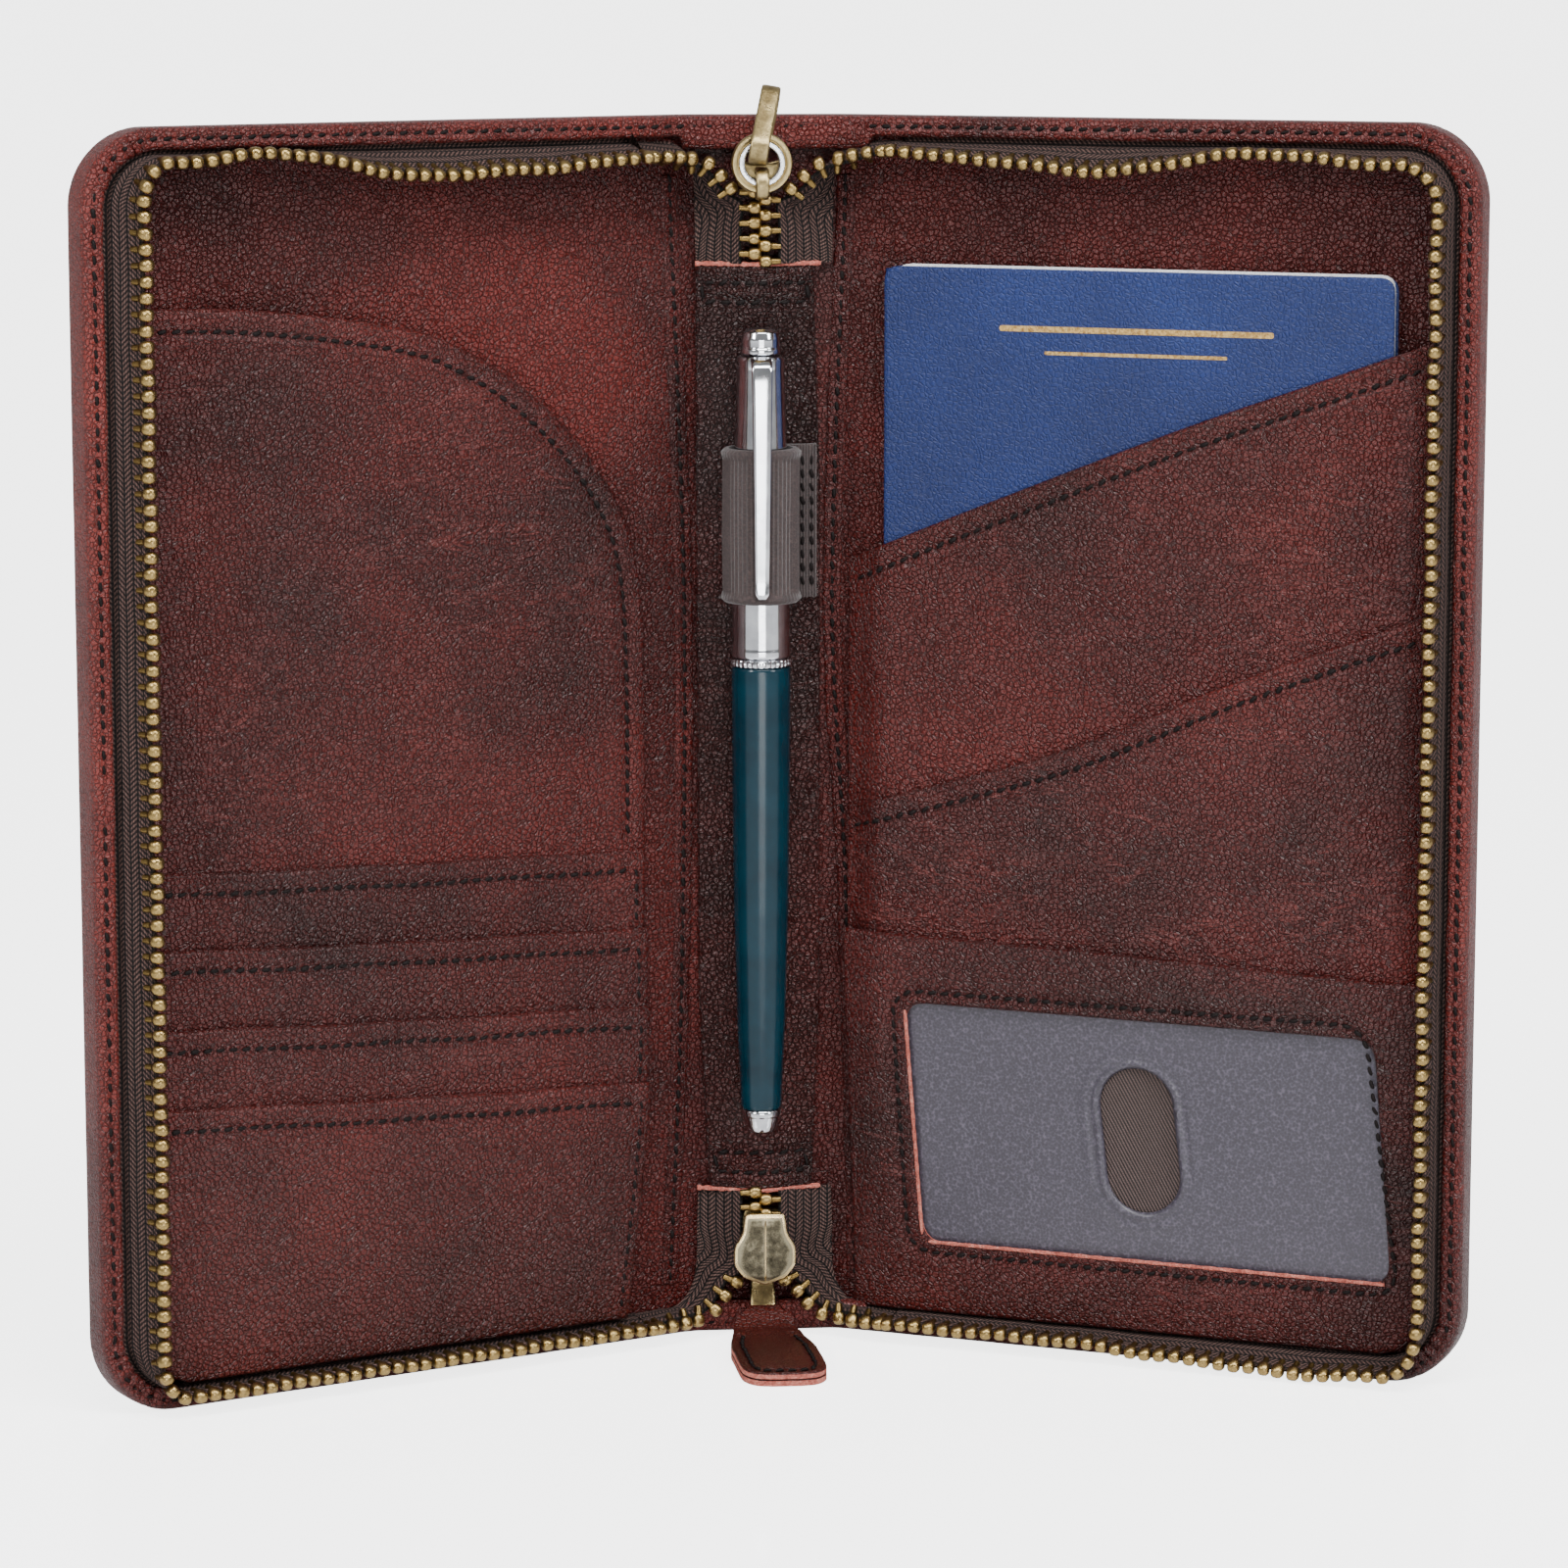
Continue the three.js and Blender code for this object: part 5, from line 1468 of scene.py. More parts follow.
# ------------------------------------------------------------------ booklet
def book_sheet(name, d0, d1, mats=("book",)):
    poly = rounded([(9.3, 61.7), (98.4, 61.7), (98.4, 186.7), (9.3, 186.7)], 2.6, 5)
    poly = np.array([p for p in poly])
    o = panel(name, 1, poly, d0, d1, list(mats), spacing=4.0, bump=(0.05, 0.03), seed=8.0, edge=0.2, groove=0.0)
    ride(o, "passport", "passport_cloth")
    return o


bf = book_sheet("booklet_front_cover", 2.78, 3.34)
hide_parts("passport_cover")
book_sheet("booklet_back_cover", 0.28, 0.8)
c_ = []
for z in np.linspace(62.2, 186.2, 40):
    pts = []
    for a in np.linspace(-90, 90, 13):
        ar = math.radians(a)
        pts.append((11.0 - 1.85 * math.cos(ar), 1.81 + 1.54 * math.sin(ar)))
    for a in np.linspace(90, -90, 13):
        ar = math.radians(a)
        pts.append((11.0 - 1.35 * math.cos(ar), 1.81 + 1.05 * math.sin(ar)))
    pts = np.array(pts)
    c_.append(P(1, pts[:, 0], pts[:, 1], z))
o = rings("booklet_spine_fold", c_, ["book"], sharp=50)
ride(o, "passport", "passport_cloth")
pp = []
leaves = 22
lv_ = []
for i in range(leaves):
    y0 = 1.0 + 1.62 * i / leaves
    off = 0.18 * rng.random()
    lv_.append((y0 + 0.008, 98.2 - 0.25 + off * 0.5, 187.0 - 0.12 + off))
vs, fs = [], []
for y0, ur, zt in lv_:
    th = 1.62 / leaves * 0.93
    outline_ = rounded([(11.2, 62.3), (ur, 62.3), (ur, zt), (11.2, zt)], 2.4, 4)
    b = len(vs)
    k = len(outline_)
    for d in (y0, y0 + th):
        for p in P(1, outline_[:, 0], d, outline_[:, 1]):
            vs.append(p)
    fs.append(tuple(b + i for i in range(k)))
    fs.append(tuple(b + k + i for i in range(k))[::-1])
    for i in range(k):
        fs.append((b + i, b + k + i, b + k + (i + 1) % k, b + (i + 1) % k))
o = make("booklet_pages", vs, fs, ["paper"], None, 30)
ride(o, "passport", "passport_paper", "passport_pages")
# plain generic foil rules where a title would be
vs, fs = [], []
def foil(poly):
    poly = np.asarray(poly, float)
    b = len(vs); k = len(poly)
    for d in (3.30, 3.37):
        for p in P(1, poly[:, 0], d, poly[:, 1]):
            vs.append(p)
    fs.append(tuple(b + i for i in range(k))); fs.append(tuple(b + k + i for i in range(k))[::-1])
    for i in range(k):
        fs.append((b + i, b + k + i, b + k + (i + 1) % k, b + (i + 1) % k))
foil(rounded([(30, 176.2), (78, 176.2), (78, 177.2), (30, 177.2)], 0.4, 2))
foil(rounded([(38, 172.4), (70, 172.4), (70, 173.0), (38, 173.0)], 0.25, 2))
o = make("booklet_foil_rules", vs, fs, ["gold"], None, 30)
ride(o, "passport", "passport_cloth")

# ------------------------------------------------------------------ spine strip, loop and pen
def smap(side, u, d, z):
    return Q(np.asarray(u, float), d, z)


spoly2 = np.array([(-9.6, 26.2), (8.2, 26.2), (9.6, 60), (9.6, 150), (8.4, 186.7), (-11.7, 186.7), (-11.7, 150), (-11.4, 60)])
def stripf(u, z):
    x = (u + 1.0) / 10.9
    # the coupled zip lies under the strip and lifts its middle
    ends = np.maximum(np.exp(-((z - 186.7) / 9) ** 2), np.exp(-((z - 26.2) / 9) ** 2))
    return 2.0 + 0.9 * np.exp(-((u + 1.0) / 5.2) ** 2) * (0.35 + 0.65 * ends) + 2.6 * ends * np.exp(-((u + 1.0) / 7.5) ** 2)
lines = []
for zs, x0, x1 in (((180.4, 183.7), -10.6, 7.4), ((29.2, 32.5), -8.6, 7.2)):
    for zc in zs:
        lines.append([(x0, zc), (x1, zc)])
    for xe in (x0, x1):
        lines.append([(xe, zs[0]), (xe, zs[1])])
o = panel("spine_strip_leather", 1, resample(spoly2, 2.0, True), lambda u, z: stripf(u, z) - 0.75, stripf, ["spine", "raw"], lines=lines, spacing=2.2, bump=(0.3, 0.05), seed=9.0, puff=0.1, groove=0.35, edge=0.45, mapper=smap,
          edge_mats=lambda u, z: 1 if (z > 186.2 or z < 26.7) else 0)
ride(o, "spine", "lining_leather", "spine_strip")
stitched("stitch_spine_strip", 1, lines, stripf, "lining_leather", body="spine", mapper=smap, width=0.52, pitch=2.5, fill=0.72, height=0.2)
# the pale cut ends
for nm, z in (("top", 186.9), ("bottom", 26.0)):
    rr = []
    for u in np.arange(-11.8, 9.9, 0.5):
        dd = float(stripf(np.array([u]), np.array([186.7 if nm == "top" else 26.2]))[0])
        q = np.linspace(0, 2 * math.pi, 9)[:-1]
        j = 0.08 * math.sin(u * 3.1) + 0.06 * math.sin(u * 7.7)
        rr.append(Q(u, dd - 0.4 + 0.36 * np.sin(q), z + (0.42 + j) * np.cos(q)))
    o = rings("strip_cut_end_" + nm, rr, ["raw"])
    ride(o, "spine", "lining_leather")

# elastic loop
na = 96
zz = np.concatenate([[129.8, 129.95, 130.4, 131.0, 131.5, 131.9], np.linspace(132.2, 153.7, 22), [154.0, 154.4, 154.9, 155.5, 155.95, 156.1]])
rr = []
for z in zz:
    e = min(z - 129.8, 156.1 - z)
    roll = 0.42 * math.exp(-((e - 0.8) / 0.62) ** 2) - 0.35 * math.exp(-(e / 0.25) ** 2)
    ring = []
    for k in range(na * 2):
        a = k / (na * 2) * 2 * math.pi
        rib = 0.13 * math.sin(k * math.pi / 2.0 * 1.0) * (1 if e > 1.6 else 0.25)
        sag = 0.16 * math.sin(z * 0.21 + a)
        r = 6.45 + rib + roll + sag * 0.4
        ring.append((PX + r * math.cos(a), PY + r * math.sin(a)))
    rr.append(ring)
rr = np.array(rr)
outer = np.stack([rr[..., 0], rr[..., 1]], -1)
nz_, nk = outer.shape[:2]
vs, fs = [], []
for i, z in enumerate(zz):
    for k in range(nk):
        vs.append(Q(outer[i, k, 0], outer[i, k, 1], z))
for i, z in enumerate(zz):
    for k in range(nk):
        a = k / nk * 2 * math.pi
        vs.append(Q(PX + 5.45 * math.cos(a), PY + 5.45 * math.sin(a), z))
Nn = nz_ * nk
for i in range(nz_ - 1):
    for k in range(nk):
        k2 = (k + 1) % nk
        a, b, c, d = i * nk + k, i * nk + k2, (i + 1) * nk + k2, (i + 1) * nk + k
        fs.append((a, b, c, d)); fs.append((a + Nn, d + Nn, c + Nn, b + Nn))
for k in range(nk):
    k2 = (k + 1) % nk
    fs.append((k, k + Nn, k2 + Nn, k2))
    a = (nz_ - 1) * nk
    fs.append((a + k, a + k2, a + k2 + Nn, a + k + Nn))
o = make("elastic_loop", vs, fs, ["elastic"], None, 60)
ride(o, "spine", "elastic", "pen_loop")
tx = np.linspace(1.5, 8.9, 60)
gx, gz = np.meshgrid(tx, zz, indexing="ij")
rib = 0.1 * np.sin(np.arange(60) * math.pi / 2)[:, None]
rl = np.array([0.3 * math.exp(-((min(z - 129.8, 156.1 - z) - 0.8) / 0.6) ** 2) for z in zz])[None, :]
dd = 4.1 - 1.0 * ((gx - 1.5) / 7.4) ** 1.5
o = shell("elastic_loop_tail", Q(gx, dd + rib + rl, gz), Q(gx, dd - 1.5, gz), ["elastic"])
ride(o, "spine", "elastic")
stitched("stitch_loop_tail", 1, [[(8.0, 131.5), (8.0, 154.5)], [(6.4, 131.5), (6.4, 154.5)]], lambda u, z: 4.1 - 1.0 * ((u - 1.5) / 7.4) ** 1.5 + 0.1, "elastic", body="spine", mapper=smap, width=0.5, pitch=2.2, height=0.2)

# pen
o = lathe("pen_barrel_lacquer", fine_profile([(0, 41.5), (3.2, 41.5), (3.45, 42.0), (4.1, 56), (4.65, 76), (4.9, 96), (5.0, 118.3), (4.8, 118.7), (0, 118.7)], 0.3), PX, PY, "lacquer")
ride(o, "pen", "pen_lacquer", "pen_barrel")
o = lathe("pen_tail_chrome", fine_profile([(0, 37.2), (1.9, 37.25), (2.55, 37.7), (2.8, 38.4), (3.05, 39.6), (3.1, 40.2), (3.35, 40.35), (3.4, 41.1), (3.2, 41.5), (0, 41.5)], 0.2), PX, PY, "chrome")
ride(o, "pen", "pen_chrome", "pen_tail")
o = lathe("pen_cap_chrome", fine_profile([(0, 120.3), (4.9, 120.3), (5.05, 120.6), (5.05, 121.6), (4.98, 121.9), (4.95, 135), (4.6, 152), (4.05, 169.6), (4.1, 169.9), (4.12, 171.2), (3.9, 171.7), (0, 171.8)], 0.15), PX, PY, "chrome")
ride(o, "pen", "pen_chrome", "pen_cap")
o = lathe("pen_finial_chrome", fine_profile([(0, 171.9), (3.2, 171.9), (3.5, 172.2), (3.5, 172.9), (3.3, 173.2), (3.38, 174.6), (3.1, 175.8), (2.2, 176.4), (0, 176.5)], 0.2), PX, PY, "chrome")
ride(o, "pen", "pen_chrome", "pen_finial")
# knurled trim ring
vs, fs = [], []
rows = []
for z, r0, kn in ((118.75, 4.8, 0), (118.9, 5.1, 0), (119.05, 5.14, 1), (119.45, 5.2, 1), (119.85, 5.14, 1), (120.0, 5.1, 0), (120.2, 4.8, 0)):
    row = []
    for k in range(144):
        a = k / 144 * 2 * math.pi
        r = r0 + (0.1 * (1 if k % 4 < 2 else -0.4) if kn else 0)
        row.append(len(vs)); vs.append(Q(PX + r * math.cos(a), PY - r * math.sin(a), z))
    rows.append(row)
for a, b in zip(rows[:-1], rows[1:]):
    fs += [(a[k], a[(k + 1) % 144], b[(k + 1) % 144], b[k]) for k in range(144)]
fs.append(tuple(rows[0])[::-1]); fs.append(tuple(rows[-1]))
o = make("pen_trim_ring_knurled", vs, fs, ["chrome"], None, 25)
ride(o, "pen", "pen_chrome", "pen_trim_ring")
# clip: a tapering sprung strip from the cap's top, ending in a small ball
xc = PX + 0.8
sec = [(171.2, 12.3, 1.7, .5), (171.3, 13.4, 1.8, .5), (170.7, 14.9, 1.8, .5), (169.2, 15.7, 1.78, .46), (164, 15.95, 1.66, .42), (152, 15.95, 1.5, .4), (140, 15.9, 1.36, .4), (134.5, 15.75, 1.3, .4), (132.6, 15.7, 1.35, .5), (131.6, 15.75, 1.2, .5), (130.95, 15.85, .7, .3)]
cs = spline([(z, d, w_, t_) for z, d, w_, t_ in sec], 6)
tg = np.gradient(cs[:, :2], axis=0); tg /= np.linalg.norm(tg, axis=1, keepdims=True)
rr = []
for (z, d, w_, t_), (tz, td) in zip(cs, tg):
    q = np.linspace(0, 2 * math.pi, 17)[:-1]
    cx = np.sign(np.cos(q)) * np.abs(np.cos(q)) ** 0.45 * w_
    ct = np.sign(np.sin(q)) * np.abs(np.sin(q)) ** 0.7 * t_
    rr.append(Q(xc - 1.15 + cx, d + ct * -tz, z + ct * td))
o = rings("pen_clip_chrome", rr, ["chrome"], sharp=45)
ride(o, "pen", "pen_chrome", "pen_clip")


# ------------------------------------------------------------------ sliders
def prism(name, poly, d0, d1, mat, bev=0.35, segs=3, mapper=None, sharp=35):
    """plate: outline in (x, z) between depths d0 and d1, with rounded edges"""
    mp = mapper or (lambda x, d, z: Q(x, d, z))
    poly = np.asarray(poly, float)
    c = poly.mean(0)
    me_v, fs = [], []
    levels = []
    th = d1 - d0
    b = min(bev, th * 0.45)
    for k in range(segs + 1):
        a = k / segs * math.pi / 2
        levels.append((d0 + b - b * math.cos(a) if False else d0 + b * (1 - math.sin(a)), b * (1 - math.cos(a))))
    levels = levels[::-1]
    levels = [(d0 + b * (1 - math.cos(k / segs * math.pi / 2)), b * (1 - math.sin(k / segs * math.pi / 2))) for k in range(segs + 1)]
    levels += [(d1 - b * (1 - math.sin(k / segs * math.pi / 2)), b * (1 - math.cos(k / segs * math.pi / 2))) for k in range(segs + 1)]
    area = 0.5 * np.sum(poly[:, 0] * np.roll(poly[:, 1], -1) - np.roll(poly[:, 0], -1) * poly[:, 1])
    for d, ins_ in levels:
        q = offset(poly, ins_ * (1 if area > 0 else -1), True) if ins_ > 1e-6 else poly
        me_v += [mp(x, d, z) for x, z in q]
    k = len(poly)
    n = len(levels)
    for i in range(n - 1):
        for j in range(k):
            j2 = (j + 1) % k
            fs.append((i * k + j, i * k + j2, (i + 1) * k + j2, (i + 1) * k + j))
    fs.append(tuple(range(k))[::-1]); fs.append(tuple((n - 1) * k + j for j in range(k)))
    return make(name, me_v, fs, [mat], None, sharp)


# top slider
plate = rounded([(XC - 3.9, 204.6), (XC - 4.2, 202.6), (XC - 3.8, 200.4), (XC - 2.2, 199.2), (XC + 2.2, 199.2), (XC + 3.8, 200.4), (XC + 4.2, 202.6), (XC + 3.9, 204.6), (XC + 1.6, 204.0), (XC - 1.6, 204.0)], 0.9, 4)
o = prism("slider_top_front_plate", plate, 6.6, 7.7, "slider", 0.4)
ride(o, "slider_top", "slider_metal")
fr_nodes = [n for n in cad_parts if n.startswith("slider_top") or n.startswith("slider_bottom") or n in ("pull_bail_top", "slider_ring_top", "pull_link_bottom", "pull_tag_bottom")]
print("SLIDER NODES", fr_nodes)
o2 = prism("slider_top_back_plate", plate, 2.35, 3.4, "slider", 0.4)
ride(o2, "slider_top", "slider_metal")
o3 = prism("slider_top_post", rounded([(XC - 1.0, 203.8), (XC + 1.0, 203.8), (XC + 0.7, 200.2), (XC - 0.7, 200.2)], 0.5, 3), 3.3, 6.8, "slider", 0.1)
ride(o3, "slider_top", "slider_metal")


def tube_path(name, path, prof, mat, closed=True, up=None, sharp=50):
    """sweeps a small section (list of (a, b)) along a path in metres; a lies along 'up', b along the outward side"""
    path = np.asarray(path)
    n = len(path)
    t = (np.roll(path, -1, 0) - np.roll(path, 1, 0)) if closed else np.gradient(path, axis=0)
    t /= np.linalg.norm(t, axis=1, keepdims=True)
    up = np.asarray(up, float)
    rr = []
    for i in range(n):
        b = np.cross(t[i], up); b /= np.linalg.norm(b)
        a = up
        rr.append([path[i] + (a * x + b * y) / 1000 for x, y in prof])
    return rings(name, rr, [mat] if isinstance(mat, str) else mat, loop=closed, sharp=sharp)


# ring: outer band, dark groove, inner liner, all round an axis along the depth
def annulus(name, cx, cz, prof, mat, seg=84, sharp=40):
    rr = []
    for k in range(seg):
        a = k / seg * 2 * math.pi
        rr.append([Q(cx + r * math.cos(a), d, cz + r * math.sin(a)) for r, d in prof])
    return rings(name, rr, [mat], loop=True, sharp=sharp)


rc = 204.2
dR = 9.2
o = annulus("slider_ring_outer_band", XC, rc, [(5.1, dR - .85), (5.15, dR), (5.1, dR + .85), (4.95, dR + 1.05), (4.5, dR + 1.12), (4.2, dR + 1.0), (4.1, dR + .8), (4.1, dR - .8), (4.2, dR - 1.0), (4.5, dR - 1.12), (4.95, dR - 1.05)], "slider")
ride(o, "slider_top", "slider_metal")
o = annulus("slider_ring_inner_band", XC, rc, [(3.95, dR - .75), (3.97, dR + .72), (3.8, dR + .98), (3.4, dR + 1.04), (3.05, dR + .95), (2.92, dR + .7), (2.92, dR - .7), (3.05, dR - .95), (3.4, dR - 1.04), (3.8, dR - .98)], "steel_liner")
ride(o, "slider_top", "slider_metal")
o = annulus("slider_ring_web", XC, rc, [(4.2, dR - .5), (4.2, dR + .62), (3.85, dR + .62), (3.85, dR - .5)], "teeth")
ride(o, "slider_top", "slider_metal")
for nm in fr_nodes:
    pass
# the hook the ring hangs in
hp = spline([(7.6, 202.6), (8.6, 203.0), (10.4, 202.6), (11.35, 201.4), (11.4, 199.9), (10.6, 198.7), (9.2, 198.5), (7.7, 198.9)], 8)
path = Q(XC, hp[:, 0], hp[:, 1])
o = tube_path("slider_top_hook", path, [(x * 1.15, y * 0.5) for x, y in [(math.copysign(abs(math.cos(q)) ** .5, math.cos(q)), math.copysign(abs(math.sin(q)) ** .7, math.sin(q))) for q in np.linspace(0, 2 * math.pi, 17)[:-1]]], "slider", closed=False, up=(1, 0, 0))
ride(o, "slider_top", "slider_metal")

# bail
from mathutils import Euler
E = Euler((math.radians(-38), math.radians(12), 0), "YXZ").to_matrix()
E = np.array(E)
bc = np.array([XC, Y0 - 9.2, 208.2])


def bail_pt(x, y, z):
    return (bc + E @ np.array([x, y, z])) / 1000


mid = []
ro = 2.45
for a in np.linspace(0, math.pi, 18):
    mid.append((ro * math.cos(a), 7.75 + ro * math.sin(a)))
for a in np.linspace(math.pi, 2 * math.pi, 18):
    mid.append((ro * math.cos(a), -1.75 + ro * math.sin(a)))
mid = np.array(mid)
mid = resample(np.vstack([mid, mid[:1]]), 0.45)[:-1]
rr = []
tt = np.roll(mid, -1, 0) - np.roll(mid, 1, 0); tt /= np.linalg.norm(tt, axis=1, keepdims=True)
for (x, z), (tx_, tz_) in zip(mid, tt):
    nx_, nz2 = tz_, -tx_
    sec = [(math.copysign(abs(math.cos(q)) ** .35, math.cos(q)) * 1.6, math.copysign(abs(math.sin(q)) ** .6, math.sin(q)) * 0.45) for q in np.linspace(0, 2 * math.pi, 21)[:-1]]
    rr.append([bail_pt(a, x + nx_ * b, z + nz2 * b) for a, b in sec])
o = rings("bail_strap", rr, ["slider"], loop=True, sharp=50)
ride(o, "bail", "slider_metal", "pull_bail_top")

# bottom slider
cb_ = -0.4
sh = np.array([(cb_ - 3.5, 22.3), (cb_ + 3.5, 22.3), (cb_ + 3.9, 18.9), (cb_ + 5.4, 16.4), (cb_ + 5.4, 13.2), (cb_ + 3.7, 11.0), (cb_, 9.6), (cb_ - 3.7, 11.0), (cb_ - 5.4, 13.2), (cb_ - 5.4, 16.4), (cb_ - 3.9, 18.9)])
shr = rounded(sh, 0.8, 4)
o = prism("slider_bottom_back_plate", shr, 2.35, 3.4, "slider", 0.35)
ride(o, "slider_bottom", "slider_metal")
o = prism("slider_bottom_post", rounded([(cb_ - 1.0, 20.5), (cb_ + 1.0, 20.5), (cb_ + 1.3, 14), (cb_ - 1.3, 14)], 0.5, 3), 3.3, 6.8, "slider", 0.1)
ride(o, "slider_bottom", "slider_metal")
# shield: a rimmed plate with two facets that fall away from its ridge
o = prism("slider_bottom_shield", shr, 6.55, 7.62, "rim", 0.3)
ride(o, "slider_bottom", "slider_metal")
q = offset(shr, 0.6 * (1 if np.sum(shr[:, 0] * np.roll(shr[:, 1], -1) - np.roll(shr[:, 0], -1) * shr[:, 1]) > 0 else -1), True)
zz_ = np.linspace(q[:, 1].min() + 0.12, q[:, 1].max() - 0.1, 40)
Fg, Bg = [], []
for z in zz_:
    xs_ = []
    for p0, p1 in zip(q, np.roll(q, -1, 0)):
        if (p0[1] > z) != (p1[1] > z):
            xs_.append(p0[0] + (p1[0] - p0[0]) * (z - p0[1]) / (p1[1] - p0[1]))
    x0_, x1_ = min(xs_), max(xs_)
    tcol = np.concatenate([x0_ + (cb_ - x0_) * np.linspace(0, 1, 9), cb_ + (x1_ - cb_) * np.linspace(0, 1, 9)[1:]])
    hh = np.concatenate([np.linspace(0, 1, 9), np.linspace(1, 0, 9)[1:]])
    rowd = 7.7 + 0.85 * hh * min(1.0, (z - zz_[0]) / 1.5 + 0.35, (zz_[-1] - z) / 1.5 + 0.35)
    Fg.append(Q(tcol, rowd, z)); Bg.append(Q(tcol, 7.3, z))
o = shell("slider_bottom_facets", np.array(Fg), np.array(Bg), ["shield"], sharp=18)
ride(o, "slider_bottom", "slider_metal")
# bright centre ridge
rg = np.linspace(10.6, 21.4, 16)
rr = []
for z in rg:
    e = min(z - 10.6, 21.4 - z)
    w_ = 0.24 * min(1, 0.25 + e / 1.2)
    rr.append([Q(cb_ - w_, 8.3, z), Q(cb_ - w_ * .6, 8.56, z), Q(cb_, 8.64, z), Q(cb_ + w_ * .6, 8.56, z), Q(cb_ + w_, 8.3, z), Q(cb_, 8.2, z)])
o = rings("slider_bottom_ridge", rr, ["rim"], sharp=60)
ride(o, "slider_bottom", "slider_metal")
# link from the slider to the tag
lk = spline([(1.7, 17.6), (1.5, 15.0), (1.5, 12.0), (1.9, 9.0), (3.1, 5.6), (4.3, 3.2), (4.75, 2.1)], 6)
hw = np.interp(np.linspace(0, 1, len(lk)), [0, .3, .75, 1], [1.8, 1.8, 2.3, 2.4])
tk = np.gradient(lk, axis=0); tk /= np.linalg.norm(tk, axis=1, keepdims=True)
rr = []
for (d, z), (td, tz), h_ in zip(lk, tk, hw):
    sec = [(math.copysign(abs(math.cos(q)) ** .4, math.cos(q)) * h_, math.copysign(abs(math.sin(q)) ** .7, math.sin(q)) * 0.3) for q in np.linspace(0, 2 * math.pi, 17)[:-1]]
    rr.append([Q(cb_ + a, d - tz * b, z + td * b) for a, b in sec])
o = rings("tag_link_band", rr, ["slider"], sharp=50)
ride(o, "slider_bottom", "slider_metal", "pull_link_bottom")

# ------------------------------------------------------------------ leather tag
half = np.array([(2.5, 2.6), (3.3, 4.4), (4.9, 6.0), (5.6, 8.2), (5.8, 11), (6.6, 15.5), (7.25, 20), (7.3, 24), (7.3, 33), (6.7, 36.4), (5, 38.6), (2.4, 39.3)])
hs_ = spline(half, 5)


def skew(y):
    return 0.5 * smooth(10, 39, y) * 2.2


left_ = np.stack([cb_ - hs_[:, 0] + skew(hs_[:, 1]), hs_[:, 1]], 1)
right_ = np.stack([cb_ + hs_[:, 0] + skew(hs_[:, 1]), hs_[:, 1]], 1)
tpoly = np.vstack([left_, right_[::-1]])


def tmap(side, u, d, z):
    """u across, z along the tag away from the case, d upward"""
    u, d, z = np.broadcast_arrays(np.asarray(u, float), np.asarray(d, float), np.asarray(z, float))
    rise = 3.0 * (1 - smooth(2.4, 9.5, z))
    return np.stack([u, Y0 - z, d + rise * smooth(0.6, 2.4, d)], -1) / 1000


tp = tpoly.copy()
inl = offset(np.vstack([left_[8:], right_[::-1][:-8]]), 1.9)
if not inside(inl[12:13], tpoly)[0]:
    inl = offset(np.vstack([left_[8:], right_[::-1][:-8]]), -1.9)
inl = inl[inl[:, 1] > 13.5]


def tf(u, z):
    return 2.35 + 0.35 * np.exp(-((z - 12.0) / 1.1) ** 2) + 0.12 * np.sin(np.clip((z - 14) / 24, 0, 1) * math.pi)


o = panel("tag_upper_leather", 1, tp, 1.3, tf, ["tag", "raw"], lines=[inl], spacing=1.6, bump=(0.07, 0.1), seed=11, puff=0.1, groove=0.28, edge=0.3, mapper=tmap, edge_mats=lambda u, z: 1)
ride(o, "tag", "tag_leather", "pull_tag_bottom")
lo_poly = tp.copy()
o = panel("tag_lower_leather", 1, lo_poly, 0.02, 1.18, ["tag", "raw"], spacing=2.0, bump=(0.0, 0.1), seed=12, edge=0.2, groove=0, mapper=tmap, edge_mats=lambda u, z: 1)
ride(o, "tag", "tag_leather")
# the fold of the strap round the link
rr = []
for x in np.linspace(cb_ - 2.5, cb_ + 2.5, 16):
    pts = []
    for a in np.linspace(-90, 90, 11):
        an = math.radians(a)
        pts.append((4.6 - 2.1 * math.cos(an) * 1.0, 2.7 + 1.85 * math.sin(an)))
    for a in np.linspace(90, -90, 11):
        an = math.radians(a)
        pts.append((4.6 - 1.15 * math.cos(an), 2.7 + 1.0 * math.sin(an)))
    rr.append([Q(x, d, z) for d, z in pts])
o = rings("tag_fold", rr, ["tag"], sharp=50)
ride(o, "tag", "tag_leather")
stitched("stitch_tag", 1, [inl], tf, "tag_leather", body="tag", mapper=tmap, width=0.55, pitch=2.1, fill=0.72, height=0.22)

# ------------------------------------------------------------------ carried-over nodes
for nm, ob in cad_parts.items():
    if "board" in nm:
        ob.data.materials.clear()
        ob.data.materials.append(MAT["board"])

REPL = {"slider_top": [], "slider_bottom": []}
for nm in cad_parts:
    if nm == "zip_slider_top":
        REPL["slider_top"].append(nm)
    elif nm == "zip_slider_bottom":
        REPL["slider_bottom"].append(nm)
    elif nm == "slider_ring_top":
        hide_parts(nm)
if REPL["slider_top"]:
    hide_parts(*REPL["slider_top"])
if REPL["slider_bottom"]:
    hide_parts(*REPL["slider_bottom"])

# ------------------------------------------------------------------ studio
def seen(mat_tree, off, on):
    """a number that is 'on' where the camera looks straight at it and 'off' for the light it gives"""
    lp = mat_tree.nodes.new("ShaderNodeLightPath")
    mx = mat_tree.nodes.new("ShaderNodeMix")
    mx.data_type = "FLOAT"
    mx.inputs[2].default_value = off
    mx.inputs[3].default_value = on
    mat_tree.links.new(lp.outputs["Is Camera Ray"], mx.inputs[0])
    return mx.outputs[0]


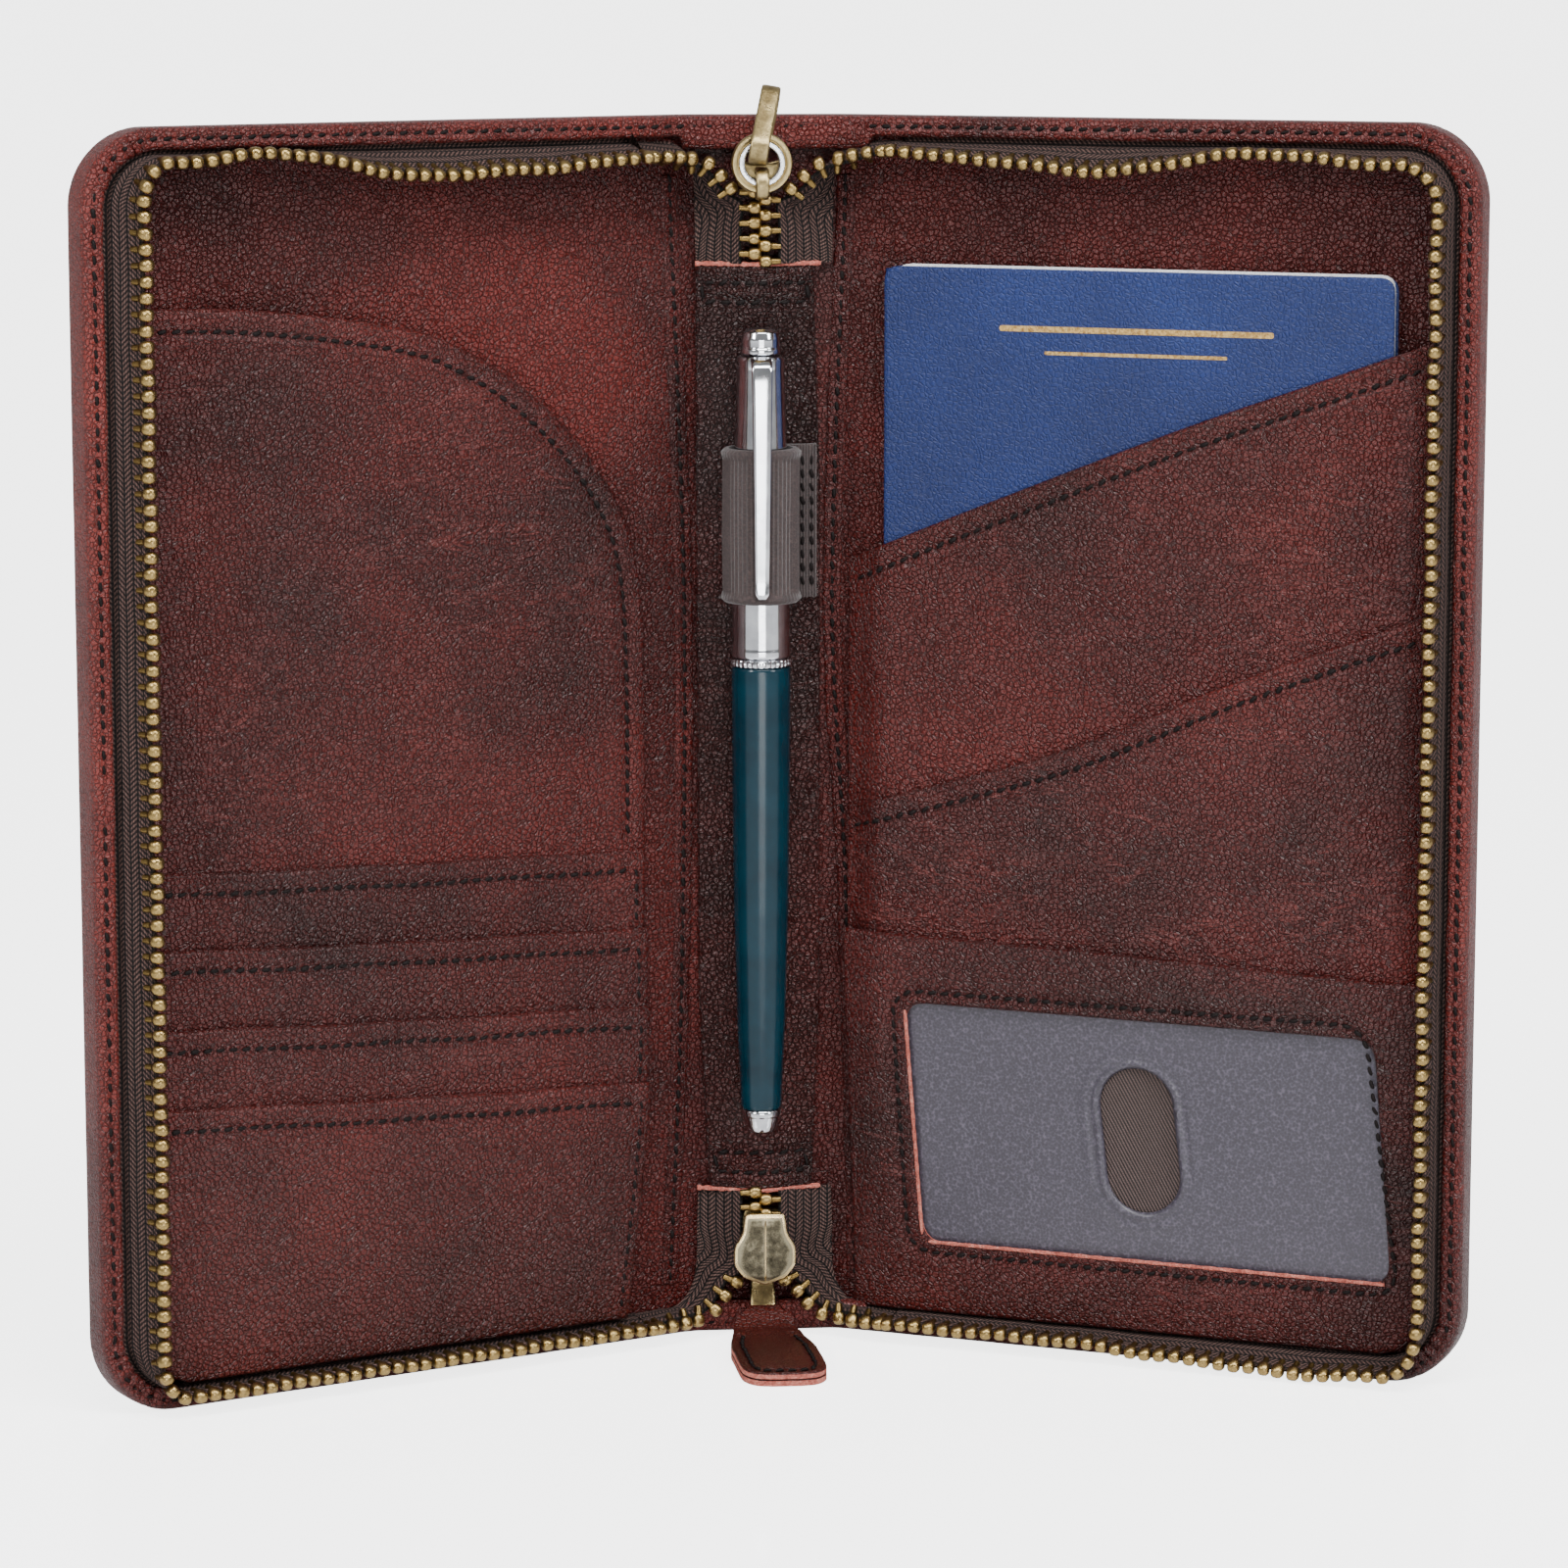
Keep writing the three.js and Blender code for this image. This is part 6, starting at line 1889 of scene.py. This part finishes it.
def stage_floor():
    m = bpy.data.materials.new("studio_floor")
    n = N(m)
    f = n.noise(n.obj(), 30, 2.0)
    col = n.mix(n.math("MULTIPLY", f, 0.2), (0.86, 0.86, 0.87, 1), (0.9, 0.9, 0.9, 1))
    b = n.bsdf(Base_Color=col, Roughness=0.09, Emission_Color=(1, 1, 1, 1), Emission_Strength=seen(n.t, 0.12, 3.4))
    b.inputs["Specular IOR Level"].default_value = 0.5
    prof = [(-6.0, 0.0), (0.9, 0.0)] + [(0.9 + 1.2 * math.sin(a), 1.2 - 1.2 * math.cos(a)) for a in np.linspace(0, math.pi / 2, 24)[1:]] + [(2.1, 4.0)]
    vs, fs = [], []
    for y, z in prof:
        vs += [(-6, y, z), (6, y, z)]
    for i in range(len(prof) - 1):
        fs.append((2 * i, 2 * i + 1, 2 * i + 3, 2 * i + 2))
    me = bpy.data.meshes.new("studio_floor")
    me.from_pydata(vs, [], fs)
    me.shade_smooth()
    me.materials.append(m)
    o = bpy.data.objects.new("studio_floor", me)
    bpy.context.scene.collection.objects.link(o)


stage_floor()
wd = bpy.data.worlds.new("studio")
bpy.context.scene.world = wd
wd.use_nodes = True
wt = wd.node_tree
bg = wt.nodes["Background"]
bg.inputs[0].default_value = (1, 1, 1, 1)
wt.links.new(seen(wt, 0.3, 4.0), bg.inputs[1])


def area(name, loc, target, size, power, col=(1, 1, 1)):
    l = bpy.data.lights.new(name, "AREA")
    l.shape = "RECTANGLE"
    l.size, l.size_y = size
    l.energy = power
    l.color = col
    o = bpy.data.objects.new(name, l)
    o.location = loc
    o.rotation_euler = (Vector(target) - Vector(loc)).to_track_quat("-Z", "Y").to_euler()
    bpy.context.scene.collection.objects.link(o)
    return o


area("key_above", (0.1, -0.75, 1.25), (0, 0, 0.1), (1.0, 0.5), 24.0)
area("front_left", (-1.0, -0.9, 0.85), (0, 0, 0.12), (0.3, 0.45), 12.0)
area("front_right", (1.0, -0.9, 0.8), (0, 0, 0.12), (0.3, 0.45), 10.0)
area("low_fill", (0.0, -1.5, 0.12), (0, 0, 0.1), (0.7, 0.25), 5.0)

cam = bpy.data.cameras.new("photo_camera")
cam.sensor_width = 36
cam.lens = 36 * 5717.16 / 1600
cam.clip_start = 0.05
az, el = math.radians(-5), math.radians(9)
back = Vector((math.sin(az) * math.cos(el), -math.cos(az) * math.cos(el), math.sin(el)))
tgt = Vector((0.00356, 0.02499, 0.0968))
co = bpy.data.objects.new("photo_camera", cam)
co.location = tgt + back * 0.970
co.rotation_euler = (-back).to_track_quat("-Z", "Y").to_euler()
bpy.context.scene.collection.objects.link(co)
bpy.context.scene.camera = co
